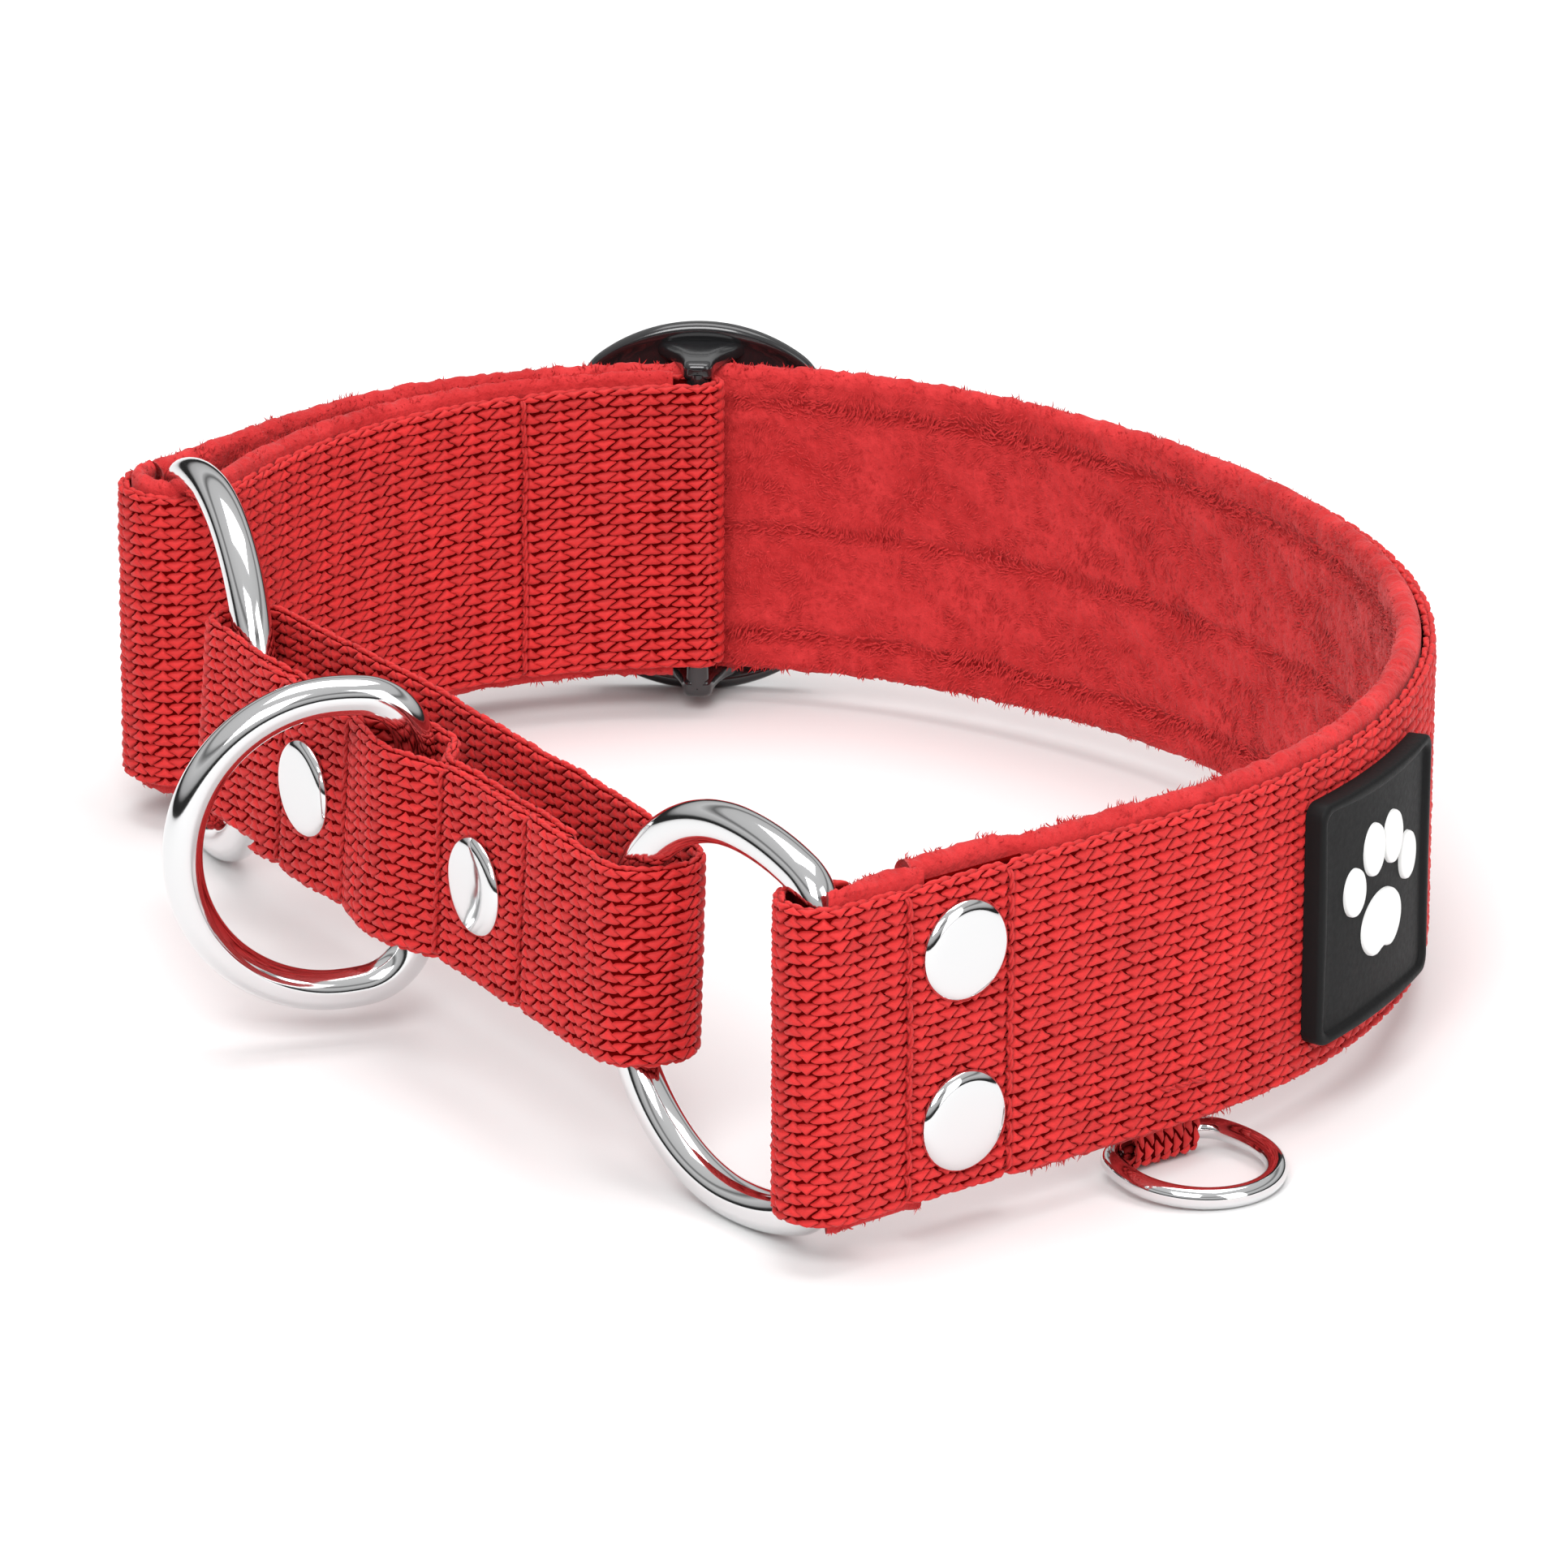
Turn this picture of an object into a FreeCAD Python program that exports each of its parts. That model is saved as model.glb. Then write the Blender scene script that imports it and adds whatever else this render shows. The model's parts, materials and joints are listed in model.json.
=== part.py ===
"""Martingale dog collar: a lined flat collar whose two ends carry D-rings in a small control loop.

Frame: +Z up, origin on the ground under the middle of the collar. The control loop and the leash
ring face -Y. The collar stands on its edge, as it lies on a table. All lengths are millimetres.

One strap makes the whole collar. It starts sewn and riveted round the right D-ring, runs up the
right side and along the back, passes the slider, goes down the left side, turns round the left
D-ring and comes back inside itself to the slider's centre bar, where its end is sewn.
"""
import FreeCAD, Part
import math
import os

import Sketcher
from FreeCAD import Placement, Rotation, Vector

doc = FreeCAD.newDocument("martingale_collar")
UP = Vector(0, 0, 1)

# ---------------------------------------------------------------- driving dimensions
SIZES = [
    ("webbing_width", 40.0, "main webbing, edge to edge"),
    ("webbing_thick", 1.8, "main webbing"),
    ("lining_width", 41.0, "plush lining, a little wider than the webbing"),
    ("fold_lining_width", 39.4, "plush lining where it turns round the left D-ring"),
    ("fold_lining_thick", 1.85, "plush lining pressed in the left fold"),
    ("tail_lining_thick", 1.75, "lining between the returning strap and its sewn tail"),
    ("lining_thick", 3.35, "plush lining with its pile"),
    ("ply_gap", 0.05, "air between two layers that lie on each other"),
    ("band_lift", 6.0, "webbing's lower edge above the ground"),
    ("right_bar_x", 89.42, "straight bar of the right D-ring"),
    ("right_bar_y", -47.825, "straight bar of the right D-ring"),
    ("right_heading", 97.0, "direction of the strap as it leaves the right D-ring, degrees"),
    ("right_side_length", 49.3, "straight stretch of the right side"),
    ("corner_radius", 92.0, "bend from the right side to the back"),
    ("corner_turn", 74.5, "degrees"),
    ("back_radius", 117.0, "bend of the back"),
    ("back_turn", 27.0, "bend of the back as far as the flex line, degrees"),
    ("flex_turn", 13.8, "bend of the back past the flex line, degrees"),
    ("left_radius", 72.5, "bend of the left side"),
    ("right_fold_radius", 5.7, "outside of the fold round the right bar"),
    ("left_fold_radius", 8.2, "outside of the fold round the left bar"),
    ("left_bar_reach", 68.3, "left bar from the centre of the left bend"),
    ("left_bar_angle", 218.5, "left bar about the centre of the left bend, degrees"),
    ("return_radius", 59.6, "inner face of the returning strap, about the left bend's centre"),
    ("flex_gap", 0.3, "clearance round the flex line's knuckle"),
    ("flex_round", 3.9, "radius of the flex line's knuckle"),
    ("fold_tail", 27.5, "right return layer, from the fold to its cut end"),
    ("tail_straight_from", 12.0, "where the right return layer starts to lie on the strap"),
    ("ring_height", 52.0, "D-rings, outside"),
    ("ring_depth", 43.9, "D-rings, outside, bar to crown"),
    ("ring_wire", 5.2, "D-ring wire"),
    ("ring_corner", 5.6, "D-ring corner, wire centre line"),
    ("right_ring_angle", 186.3, "direction from bar to crown, degrees"),
    ("left_ring_angle", -13.7, "direction from bar to crown, degrees"),
    ("loop_width", 25.4, "control loop webbing"),
    ("loop_thick", 1.6, "control loop webbing"),
    ("loop_lift", 0.7, "control loop's middle above the strap's middle"),
    ("leash_height", 43.4, "leash ring, outside"),
    ("leash_depth", 34.3, "leash ring, outside, bar to crown"),
    ("leash_wire", 5.0, "leash ring wire"),
    ("leash_corner", 7.5, "leash ring corner, wire centre line"),
    ("leash_angle", 254.0, "direction from bar to crown, degrees"),
    ("leash_bar_along", 49.3, "leash bar from the right ring's crown, along the loop"),
    ("leash_bar_out", 2.1, "leash bar from the loop's middle line, outward"),
    ("tag_height", 22.0, "tag ring, outside, along the strap"),
    ("tag_depth", 20.0, "tag ring, outside, bar to crown"),
    ("tag_wire", 2.7, "tag ring wire"),
    ("tag_corner", 4.0, "tag ring corner, wire centre line"),
    ("tag_along", 51.2, "tag tab's middle from the right bar, along the strap"),
    ("tab_width", 10.0, "tag tab"),
    ("tab_thick", 1.1, "tag tab webbing"),
    ("tab_stand_off", 0.6, "tab from the strap's inner face"),
    ("tab_fold_radius", 2.8, "outside of the tab's fold"),
    ("tab_drop", 3.2, "tag ring's bar below the webbing's lower edge"),
    ("tab_rise", 9.0, "tab's sewn tails above the webbing's lower edge"),
    ("rivet_cap_radius", 6.3, "rivet's front cap"),
    ("rivet_cap_thick", 1.3, "rivet's front cap"),
    ("rivet_post_radius", 1.6, "rivet's post"),
    ("rivet_back_radius", 4.5, "band rivet's rear cap"),
    ("loop_rivet_back_radius", 3.6, "loop rivet's rear cap"),
    ("rivet_back_thick", 0.7, "rivet's rear cap"),
    ("rivet_along", 17.0, "band rivets from the right bar, along the strap"),
    ("rivet_spread", 21.4, "between the two band rivets"),
    ("slider_height", 52.0, "slider, outside"),
    ("slider_width", 33.0, "slider, outside"),
    ("slider_end_radius", 22.5, "slider's rounded ends"),
    ("slider_corner", 7.0, "slider's corners"),
    ("slider_clear", 0.6, "slider's ring from the strap, at the window's edge"),
    ("slider_plate", 2.4, "thickness of the slider's ring"),
    ("slider_window", 25.0, "width of the slider's window"),
    ("slider_lip", 2.6, "thickness of the two ends that reach inward"),
    ("slider_lip_width", 9.0, "width of the two ends"),
    ("slider_bar", 3.0, "slider's centre bar"),
    ("slider_angle", 146.2, "slider about the left bend's centre, degrees"),
    ("bar_wrap_radius", 3.55, "outside of the strap's wrap round the centre bar"),
    ("slider_tail", 24.3, "sewn tail's angle about the left bend's centre, degrees"),
    ("badge_side", 31.0, "badge"),
    ("badge_thick", 2.0, "badge's plate"),
    ("badge_rim", 1.6, "badge's rim width"),
    ("badge_relief", 0.7, "height of the badge's rim and paw above its plate"),
    ("badge_turn", 24.0, "badge's middle past the start of the corner bend, degrees"),
    ("thread_width", 0.9, "seam thread lying on the webbing"),
    ("thread_thick", 0.5, "seam thread lying on the webbing"),
    ("seam_margin", 2.0, "seam's ends from the webbing's edges"),
]

sheet = doc.addObject("Spreadsheet::Sheet", "Dimensions")
for row, (alias, value, note) in enumerate(SIZES, start=1):
    sheet.set("A%d" % row, note)
    sheet.set("B%d" % row, str(value))
    sheet.setAlias("B%d" % row, alias)
doc.recompute()


def size(alias):
    """A driving dimension, read from the sheet."""
    return float(sheet.get(alias))


# ---------------------------------------------------------------- plan geometry
# A path is a list of pieces. A line is (start, end); an arc is (centre, radius, from, to) in
# degrees, counter-clockwise when "to" is the larger. Offsets are to the left of travel.
def polar(centre, radius, angle):
    a = math.radians(angle)
    return centre + Vector(radius * math.cos(a), radius * math.sin(a), 0)


def heading_vector(angle):
    return polar(Vector(0, 0, 0), 1.0, angle)


def is_arc(piece):
    return len(piece) == 4


def shifted(piece, offset):
    """The piece moved sideways by offset, to the left of travel."""
    if is_arc(piece):
        centre, radius, start, end = piece
        inward = 1 if end > start else -1
        return (centre, radius - inward * offset, start, end)
    start, end = piece
    along = (end - start).normalize()
    side = Vector(-along.y, along.x, 0) * offset
    return (start + side, end + side)


def first_point(piece):
    return polar(piece[0], piece[1], piece[2]) if is_arc(piece) else piece[0]


def last_point(piece):
    return polar(piece[0], piece[1], piece[3]) if is_arc(piece) else piece[1]


def curve(piece):
    """The piece as sketch geometry."""
    if not is_arc(piece):
        return Part.LineSegment(piece[0], piece[1])
    centre, radius, start, end = piece
    return Part.Arc(polar(centre, radius, start), polar(centre, radius, (start + end) / 2),
                    polar(centre, radius, end))


def cross_over(centre_1, radius_1, centre_2, radius_2, first_is_left):
    """Angle, on the first circle, of the straight line that crosses between two circles."""
    between = centre_2 - centre_1
    bearing = math.degrees(math.atan2(between.y, between.x))
    swing = math.degrees(math.acos((radius_1 + radius_2) / between.Length))
    return bearing - swing if first_is_left else bearing + swing


def trimmed(piece, centre, radius, at_start):
    """The arc piece cut back, or let out, to meet a circle centred between its two faces."""
    arc_centre, arc_radius, start, end = piece
    spoke = (centre - arc_centre).Length
    bearing = math.degrees(math.atan2(centre.y - arc_centre.y, centre.x - arc_centre.x)) % 360
    cosine = (arc_radius ** 2 + spoke ** 2 - radius ** 2) / (2 * arc_radius * spoke)
    meet = bearing - math.degrees(math.acos(cosine))
    return (arc_centre, arc_radius, meet, end) if at_start else (arc_centre, arc_radius, start, meet)


def outline(path, near, far, start_knuckle=None, end_knuckle=None):
    """Closed ribbon outline between two offsets; far may be one number or one per piece."""
    far = far if isinstance(far, list) else [far] * len(path)
    low = [shifted(piece, near) for piece in path]
    high = [shifted(piece, offset) for piece, offset in zip(path, far)]
    if start_knuckle:
        low[0] = trimmed(low[0], *start_knuckle, True)
        high[0] = trimmed(high[0], *start_knuckle, True)
    if end_knuckle:
        low[-1] = trimmed(low[-1], *end_knuckle, False)
        high[-1] = trimmed(high[-1], *end_knuckle, False)
    edges = [curve(piece) for piece in low]
    edges.append(end_edge(last_point(low[-1]), last_point(high[-1]), end_knuckle))
    for index in range(len(high) - 1, -1, -1):
        edges.append(curve(high[index]))
        step = first_point(high[index]) - last_point(high[index - 1]) if index else Vector()
        if step.Length > 1e-6:
            edges.append(Part.LineSegment(first_point(high[index]), last_point(high[index - 1])))
    edges.append(end_edge(first_point(high[0]), first_point(low[0]), start_knuckle))
    return edges


def end_edge(start, end, knuckle):
    if not knuckle:
        return Part.LineSegment(start, end)
    centre, radius = knuckle
    middle = ((start + end) * 0.5 - centre).normalize() * radius
    return Part.Arc(start, centre + middle, end)


def rounded(points):
    """A path through points (x, y, radius) whose corners are rounded by those radii."""
    path = []
    here = Vector(points[0][0], points[0][1], 0)
    for (x, y, radius), after in zip(points[1:-1], points[2:]):
        corner = Vector(x, y, 0)
        way_in = (corner - here).normalize()
        way_out = (Vector(after[0], after[1], 0) - corner).normalize()
        turn = math.degrees(math.atan2(way_in.x * way_out.y - way_in.y * way_out.x, way_in * way_out))
        reach = radius * math.tan(math.radians(abs(turn)) / 2)
        touch = corner - way_in * reach
        bearing = math.degrees(math.atan2(way_in.y, way_in.x))
        side = 90 if turn > 0 else -90
        if (touch - here).Length > 1e-6:
            path.append((here, touch))
        path.append((polar(touch, radius, bearing + side), radius, bearing - side,
                     bearing - side + turn))
        here = corner + way_out * reach
    path.append((here, Vector(points[-1][0], points[-1][1], 0)))
    return path


# ---------------------------------------------------------------- document helpers
def plane_of(body, role):
    for feature in body.Origin.OriginFeatures:
        if feature.Role == role:
            return feature
    raise ValueError(role)


def bind(target, **expressions):
    for prop, expression in expressions.items():
        target.setExpression(prop.replace("__", "."), expression)


def dim(expression):
    """An expression with every sheet alias written in full, as the document needs it."""
    words = expression.split()
    names = {alias for alias, _, _ in SIZES}
    return " ".join("Dimensions." + word if word in names else word for word in words)


def new_sketch(body, name, edges, role="XY_Plane"):
    sketch = body.newObject("Sketcher::SketchObject", name)
    sketch.AttachmentSupport = [(plane_of(body, role), "")]
    sketch.MapMode = "FlatFace"
    for edge in edges:
        sketch.addGeometry(edge, False)
    return sketch


def new_pad(body, name, sketch, length, symmetric=True):
    pad = body.newObject("PartDesign::Pad", name)
    pad.Profile = sketch
    pad.SideType = "Symmetric" if symmetric else "One side"
    bind(pad, Length=dim(length))
    return pad


def new_body(name):
    return doc.addObject("PartDesign::Body", name)


def ribbon(name, edges, width, centre_height="band_lift + webbing_width / 2"):
    """A strap standing on edge: its plan outline, padded both ways from mid-height."""
    body = new_body(name)
    sketch = new_sketch(body, name + "_plan", edges)
    new_pad(body, name + "_pad", sketch, width)
    bind(body, Placement__Base__z=dim(centre_height))
    return body


def named(feature, label):
    feature.Label = label
    return feature


def cut(label, base, tools):
    """Base with the tools' shapes taken out of it."""
    tool = tools[0]
    if len(tools) > 1:
        tool = doc.addObject("Part::Compound", label + "_tools")
        tool.Links = tools
    result = doc.addObject("Part::Cut", label + "_cut")
    result.Base = base
    result.Tool = tool
    return named(result, label)


def group(label, members):
    """Several separate pieces of one kind, kept together in one node."""
    result = doc.addObject("Part::Compound", label + "_group")
    result.Links = members
    return named(result, label)


def facing(point, outward):
    """Placement with local +Z along outward and local +Y up."""
    outward = Vector(outward).normalize()
    sideways = UP.cross(outward)
    return Placement(point, Rotation(sideways, UP, outward, "ZXY"))


# ---------------------------------------------------------------- where everything lies
web = size("webbing_thick")
gap = size("ply_gap")
plush_near = web + gap
plush_far = plush_near + size("lining_thick")
mid_height = size("band_lift") + size("webbing_width") / 2

right_bar = Vector(size("right_bar_x"), size("right_bar_y"), 0)
heading = size("right_heading")
fold = size("right_fold_radius")
side_start = polar(right_bar, fold, heading - 90)
side_end = side_start + heading_vector(heading) * size("right_side_length")
corner_centre = polar(side_end, size("corner_radius"), heading + 90)
corner_end_angle = heading - 90 + size("corner_turn")
back_centre = polar(corner_centre, size("corner_radius") - size("back_radius"), corner_end_angle)
flex_angle = corner_end_angle + size("back_turn")
left_start_angle = flex_angle + size("flex_turn")
left_centre = polar(back_centre, size("back_radius") - size("left_radius"), left_start_angle)
left_bar = polar(left_centre, size("left_bar_reach"), size("left_bar_angle"))
flex_point = polar(back_centre, size("back_radius") - plush_far / 2, flex_angle)

# right end of the strap: the cut end lies against the strap's inner face and swings out to the fold
tail_offset = 2 * web + gap
tail_bend = 6.0
tail_start = side_start + heading_vector(heading) * size("fold_tail")
tail_turn = side_start + heading_vector(heading) * size("tail_straight_from")
inward = heading_vector(heading + 90)
tail_bend_centre = tail_turn + inward * (tail_offset + tail_bend)
tail_angle = cross_over(tail_bend_centre, tail_bend, right_bar, fold, False)
right_end = [
    (tail_start + inward * tail_offset, tail_turn + inward * tail_offset),
    (tail_bend_centre, tail_bend, heading - 90, tail_angle - 360 if tail_angle > heading else tail_angle),
    (polar(tail_bend_centre, tail_bend, tail_angle), polar(right_bar, fold, tail_angle + 180)),
    (right_bar, fold, tail_angle + 180 - 360, heading - 90),
]
right_side = (side_start, side_end)
corner_bend = (corner_centre, size("corner_radius"), heading - 90, corner_end_angle)
back_bend = (back_centre, size("back_radius"), corner_end_angle, flex_angle)
flex_bend = (back_centre, size("back_radius"), flex_angle, left_start_angle)

# left end: the side leaves its bend on a straight line that just touches the fold
fold_left = size("left_fold_radius")
leave = math.degrees(math.acos((size("left_radius") - fold_left) / size("left_bar_reach")))
leave_angle = size("left_bar_angle") - leave
join_angle = cross_over(left_bar, fold_left, left_centre, size("return_radius"), True)
left_bend = (left_centre, size("left_radius"), left_start_angle, leave_angle)
left_line = (last_point(left_bend), polar(left_bar, fold_left, leave_angle))
left_fold = (left_bar, fold_left, leave_angle, join_angle + 360)
return_join = (polar(left_bar, fold_left, join_angle),
               polar(left_centre, size("return_radius"), join_angle + 180))
return_break = 207.0
return_start = 195.0
return_short = (left_centre, size("return_radius"), join_angle + 180, return_break)

# returning strap: up to the slider's bar, round it and back along itself
slider_angle = size("slider_angle")
wrap = size("bar_wrap_radius")
bar_centre = polar(left_centre, size("return_radius") + wrap, slider_angle)
sewn_radius = size("return_radius") + tail_offset + size("tail_lining_thick") + 0.05
sewn_bend = 5.0
sewn_from = slider_angle + 9.0
sewn_centre = polar(left_centre, sewn_radius + sewn_bend, sewn_from)
wrap_angle = cross_over(bar_centre, wrap, sewn_centre, sewn_bend, True) % 360
return_path = [
    (left_centre, size("return_radius"), return_start, slider_angle),
    (bar_centre, wrap, slider_angle + 180 - 360, wrap_angle),
    (polar(bar_centre, wrap, wrap_angle), polar(sewn_centre, sewn_bend, wrap_angle + 180)),
    (sewn_centre, sewn_bend, wrap_angle + 180, sewn_from + 180),
    (left_centre, sewn_radius, sewn_from, slider_angle + size("slider_tail")),
]


# ---------------------------------------------------------------- small shared parts
def ring_path(height, depth, wire, corner):
    """Centre line of a D-ring in its own plane: bar on the vertical axis, crown along +X."""
    half = (size(height) - size(wire)) / 2
    reach = size(depth) - size(wire)
    bend = size(corner)
    return [
        (Vector(0, 0, 0), Vector(0, -(half - bend), 0)),
        (Vector(bend, -(half - bend), 0), bend, 180, 270),
        (Vector(bend, -half, 0), Vector(reach - half, -half, 0)),
        (Vector(reach - half, 0, 0), half, -90, 90),
        (Vector(reach - half, half, 0), Vector(bend, half, 0)),
        (Vector(bend, half - bend, 0), bend, 90, 180),
        (Vector(0, half - bend, 0), Vector(0, 0, 0)),
    ]


def d_ring(label, height, depth, wire, corner):
    body = new_body(label + "_body")
    edges = [curve(piece) for piece in ring_path(height, depth, wire, corner)]
    spine = new_sketch(body, label + "_spine", edges)
    circle = Part.Circle(Vector(0, 0, 0), UP, size(wire) / 2)
    profile = new_sketch(body, label + "_wire", [circle], "XZ_Plane")
    profile.addConstraint(Sketcher.Constraint("Radius", 0, size(wire) / 2))
    profile.renameConstraint(0, "wire_radius")
    bind(profile, Constraints__wire_radius=dim(wire + " / 2"))
    pipe = body.newObject("PartDesign::AdditivePipe", label + "_pipe")
    pipe.Profile = profile
    pipe.Spine = spine
    return named(body, label)


def stand_ring(body, bar, angle, height=mid_height):
    """Ring upright on its bar, with the crown towards the plan direction angle."""
    crown = heading_vector(angle)
    body.Placement = Placement(Vector(bar.x, bar.y, height),
                               Rotation(crown, UP, crown.cross(UP), "ZXY"))


def rivet_cap(name):
    """Low domed cap whose flat back is on z = 0."""
    body = new_body(name)
    radius = size("rivet_cap_radius")
    thick = size("rivet_cap_thick")
    rim = 0.5
    edges = [
        Part.LineSegment(Vector(0, 0, 0), Vector(radius, 0, 0)),
        Part.LineSegment(Vector(radius, 0, 0), Vector(radius, rim, 0)),
        Part.Arc(Vector(radius, rim, 0), Vector(radius * 0.93, thick * 0.85, 0),
                 Vector(radius * 0.78, thick, 0)),
        Part.LineSegment(Vector(radius * 0.78, thick, 0), Vector(0, thick, 0)),
        Part.LineSegment(Vector(0, thick, 0), Vector(0, 0, 0)),
    ]
    return revolved(body, name, edges)


def rivet_post(name, grip, back_radius="rivet_back_radius"):
    """Post from z = 0 down through the layers, with its rear cap under them."""
    body = new_body(name)
    post = size("rivet_post_radius")
    back = size(back_radius)
    end = -(grip + size("rivet_back_thick"))
    points = [(0, 0), (post, 0), (post, -grip), (back, -grip), (back, end), (0, end), (0, 0)]
    edges = [Part.LineSegment(Vector(x0, y0, 0), Vector(x1, y1, 0))
             for (x0, y0), (x1, y1) in zip(points, points[1:])]
    return revolved(body, name, edges)


def revolved(body, name, edges):
    sketch = new_sketch(body, name + "_profile", edges, "XZ_Plane")
    turn = body.newObject("PartDesign::Revolution", name + "_turn")
    turn.Profile = sketch
    turn.ReferenceAxis = (sketch, ["V_Axis"])
    turn.Angle = 360
    return body


def hole(name, placement, depth):
    """Cylinder that opens the layers for a rivet's post."""
    cylinder = doc.addObject("Part::Cylinder", name)
    bind(cylinder, Radius=dim("rivet_post_radius"))
    cylinder.Height = depth + 2
    cylinder.Placement = placement * Placement(Vector(0, 0, -depth - 1), Rotation())
    return cylinder


def seam(name, placement, width="webbing_width"):
    """One straight seam lying on a strap, across it: local +Y along the seam."""
    thread = doc.addObject("Part::Box", name)
    bind(thread, Length=dim("thread_width"), Height=dim("thread_thick"),
         Width=dim(width + " - 2 * seam_margin"))
    half = (size(width) - 2 * size("seam_margin")) / 2
    thread.Placement = placement * Placement(Vector(-size("thread_width") / 2, -half, 0.02), Rotation())
    return thread


def on_side(along, height=mid_height, offset=0.0):
    """Placement on the outer face of the right side, along mm from the fold."""
    point = side_start + heading_vector(heading) * along - inward * offset
    return facing(Vector(point.x, point.y, height), -inward)


# ---------------------------------------------------------------- band
def make_band():
    knuckle = (flex_point, size("flex_round") + size("flex_gap"))
    path = right_end + [right_side, corner_bend, back_bend]
    webbing = ribbon("main_webbing_body", outline(path, 0, web, None, knuckle), "webbing_width")

    doubled = tail_offset + gap
    body = new_body("main_lining_body")
    over_tail = outline([(tail_turn, tail_start + heading_vector(heading) * 0.5)], doubled,
                        doubled + size("lining_thick"))
    beyond = [(tail_start + heading_vector(heading) * 0.5, side_end), corner_bend, back_bend]
    new_pad(body, "main_lining_pad",
            new_sketch(body, "main_lining_plan", outline(beyond, plush_near, plush_far, None, knuckle)),
            "lining_width")
    new_pad(body, "tail_lining_pad", new_sketch(body, "tail_lining_plan", over_tail), "lining_width")
    bind(body, Placement__Base__z=dim("band_lift + webbing_width / 2"))

    stack = tail_offset + gap + size("lining_thick")
    caps, posts, holes = [], [], []
    for number, side in enumerate((-0.5, 0.5), start=1):
        place = on_side(size("rivet_along"), mid_height + side * size("rivet_spread"))
        cap = rivet_cap("band_cap_%d" % number)
        cap.Placement = place
        post = rivet_post("band_post_%d" % number, stack)
        post.Placement = place
        caps.append(cap)
        posts.append(post)
        holes.append(hole("band_hole_%d" % number, place, stack))
    cut("main_webbing", webbing, holes)
    group("band_rivet_caps", caps)
    group("band_rivet_posts", posts)

    group("fold_seams", [seam("fold_seam_1", on_side(8.9)), seam("fold_seam_2", on_side(24.1))])
    return body, holes


def make_badge():
    """Square rubber badge with a raised rim and a plain paw, bent to the strap."""
    centre_angle = heading - 90 + size("badge_turn")
    half_turn = math.degrees(size("badge_side") / 2 / size("corner_radius"))
    side = size("badge_side")
    rim = size("badge_rim")
    rim_turn = math.degrees(rim / size("corner_radius"))
    plate_far = -size("badge_thick")
    relief_far = plate_far - size("badge_relief")

    def patch(half_angle):
        return [(corner_centre, size("corner_radius"), centre_angle - half_angle,
                 centre_angle + half_angle)]

    plate = ribbon("badge_plate", outline(patch(half_turn), -0.05, plate_far), "badge_side")
    frame = ribbon("badge_frame", outline(patch(half_turn), plate_far, relief_far), "badge_side")
    inner = ribbon("badge_inner", outline(patch(half_turn - rim_turn), plate_far + 0.5, relief_far - 1),
                   "badge_side - 2 * badge_rim")
    raised = cut("badge_rim_cut", frame, [inner])
    base = doc.addObject("Part::Fuse", "badge_base_fuse")
    base.Base = plate
    base.Tool = raised
    named(base, "badge_base")

    skin = ribbon("badge_skin", outline(patch(half_turn - 2 * rim_turn), plate_far - 0.01, relief_far),
                  "badge_side - 4 * badge_rim")
    surface = polar(corner_centre, size("corner_radius"), centre_angle)
    place = facing(Vector(surface.x, surface.y, mid_height), heading_vector(centre_angle))
    pads = [(0.0, -0.13, 0.17, 0.13), (-0.24, 0.07, 0.075, 0.10), (-0.085, 0.20, 0.078, 0.11),
            (0.085, 0.20, 0.078, 0.11), (0.24, 0.07, 0.075, 0.10)]
    prints = []
    for number, (x, y, wide, tall) in enumerate(pads, start=1):
        toe = doc.addObject("Part::Cylinder", "paw_print_%d" % number)
        toe.Radius = 1.0
        toe.Height = 6.0
        stretched = doc.addObject("Part::Feature", "paw_pad_%d" % number)
        scale = FreeCAD.Matrix()
        scale.scale(Vector(wide * side, tall * side, 1))
        doc.recompute()
        stretched.Shape = toe.Shape.transformGeometry(scale)
        stretched.Placement = place * Placement(Vector(x * side, y * side, 0), Rotation())
        prints.append(stretched)
    paw = doc.addObject("Part::Compound", "paw_outline")
    paw.Links = prints
    motif = doc.addObject("Part::Common", "badge_motif_common")
    motif.Base = skin
    motif.Tool = paw
    named(motif, "badge_paw")


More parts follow.
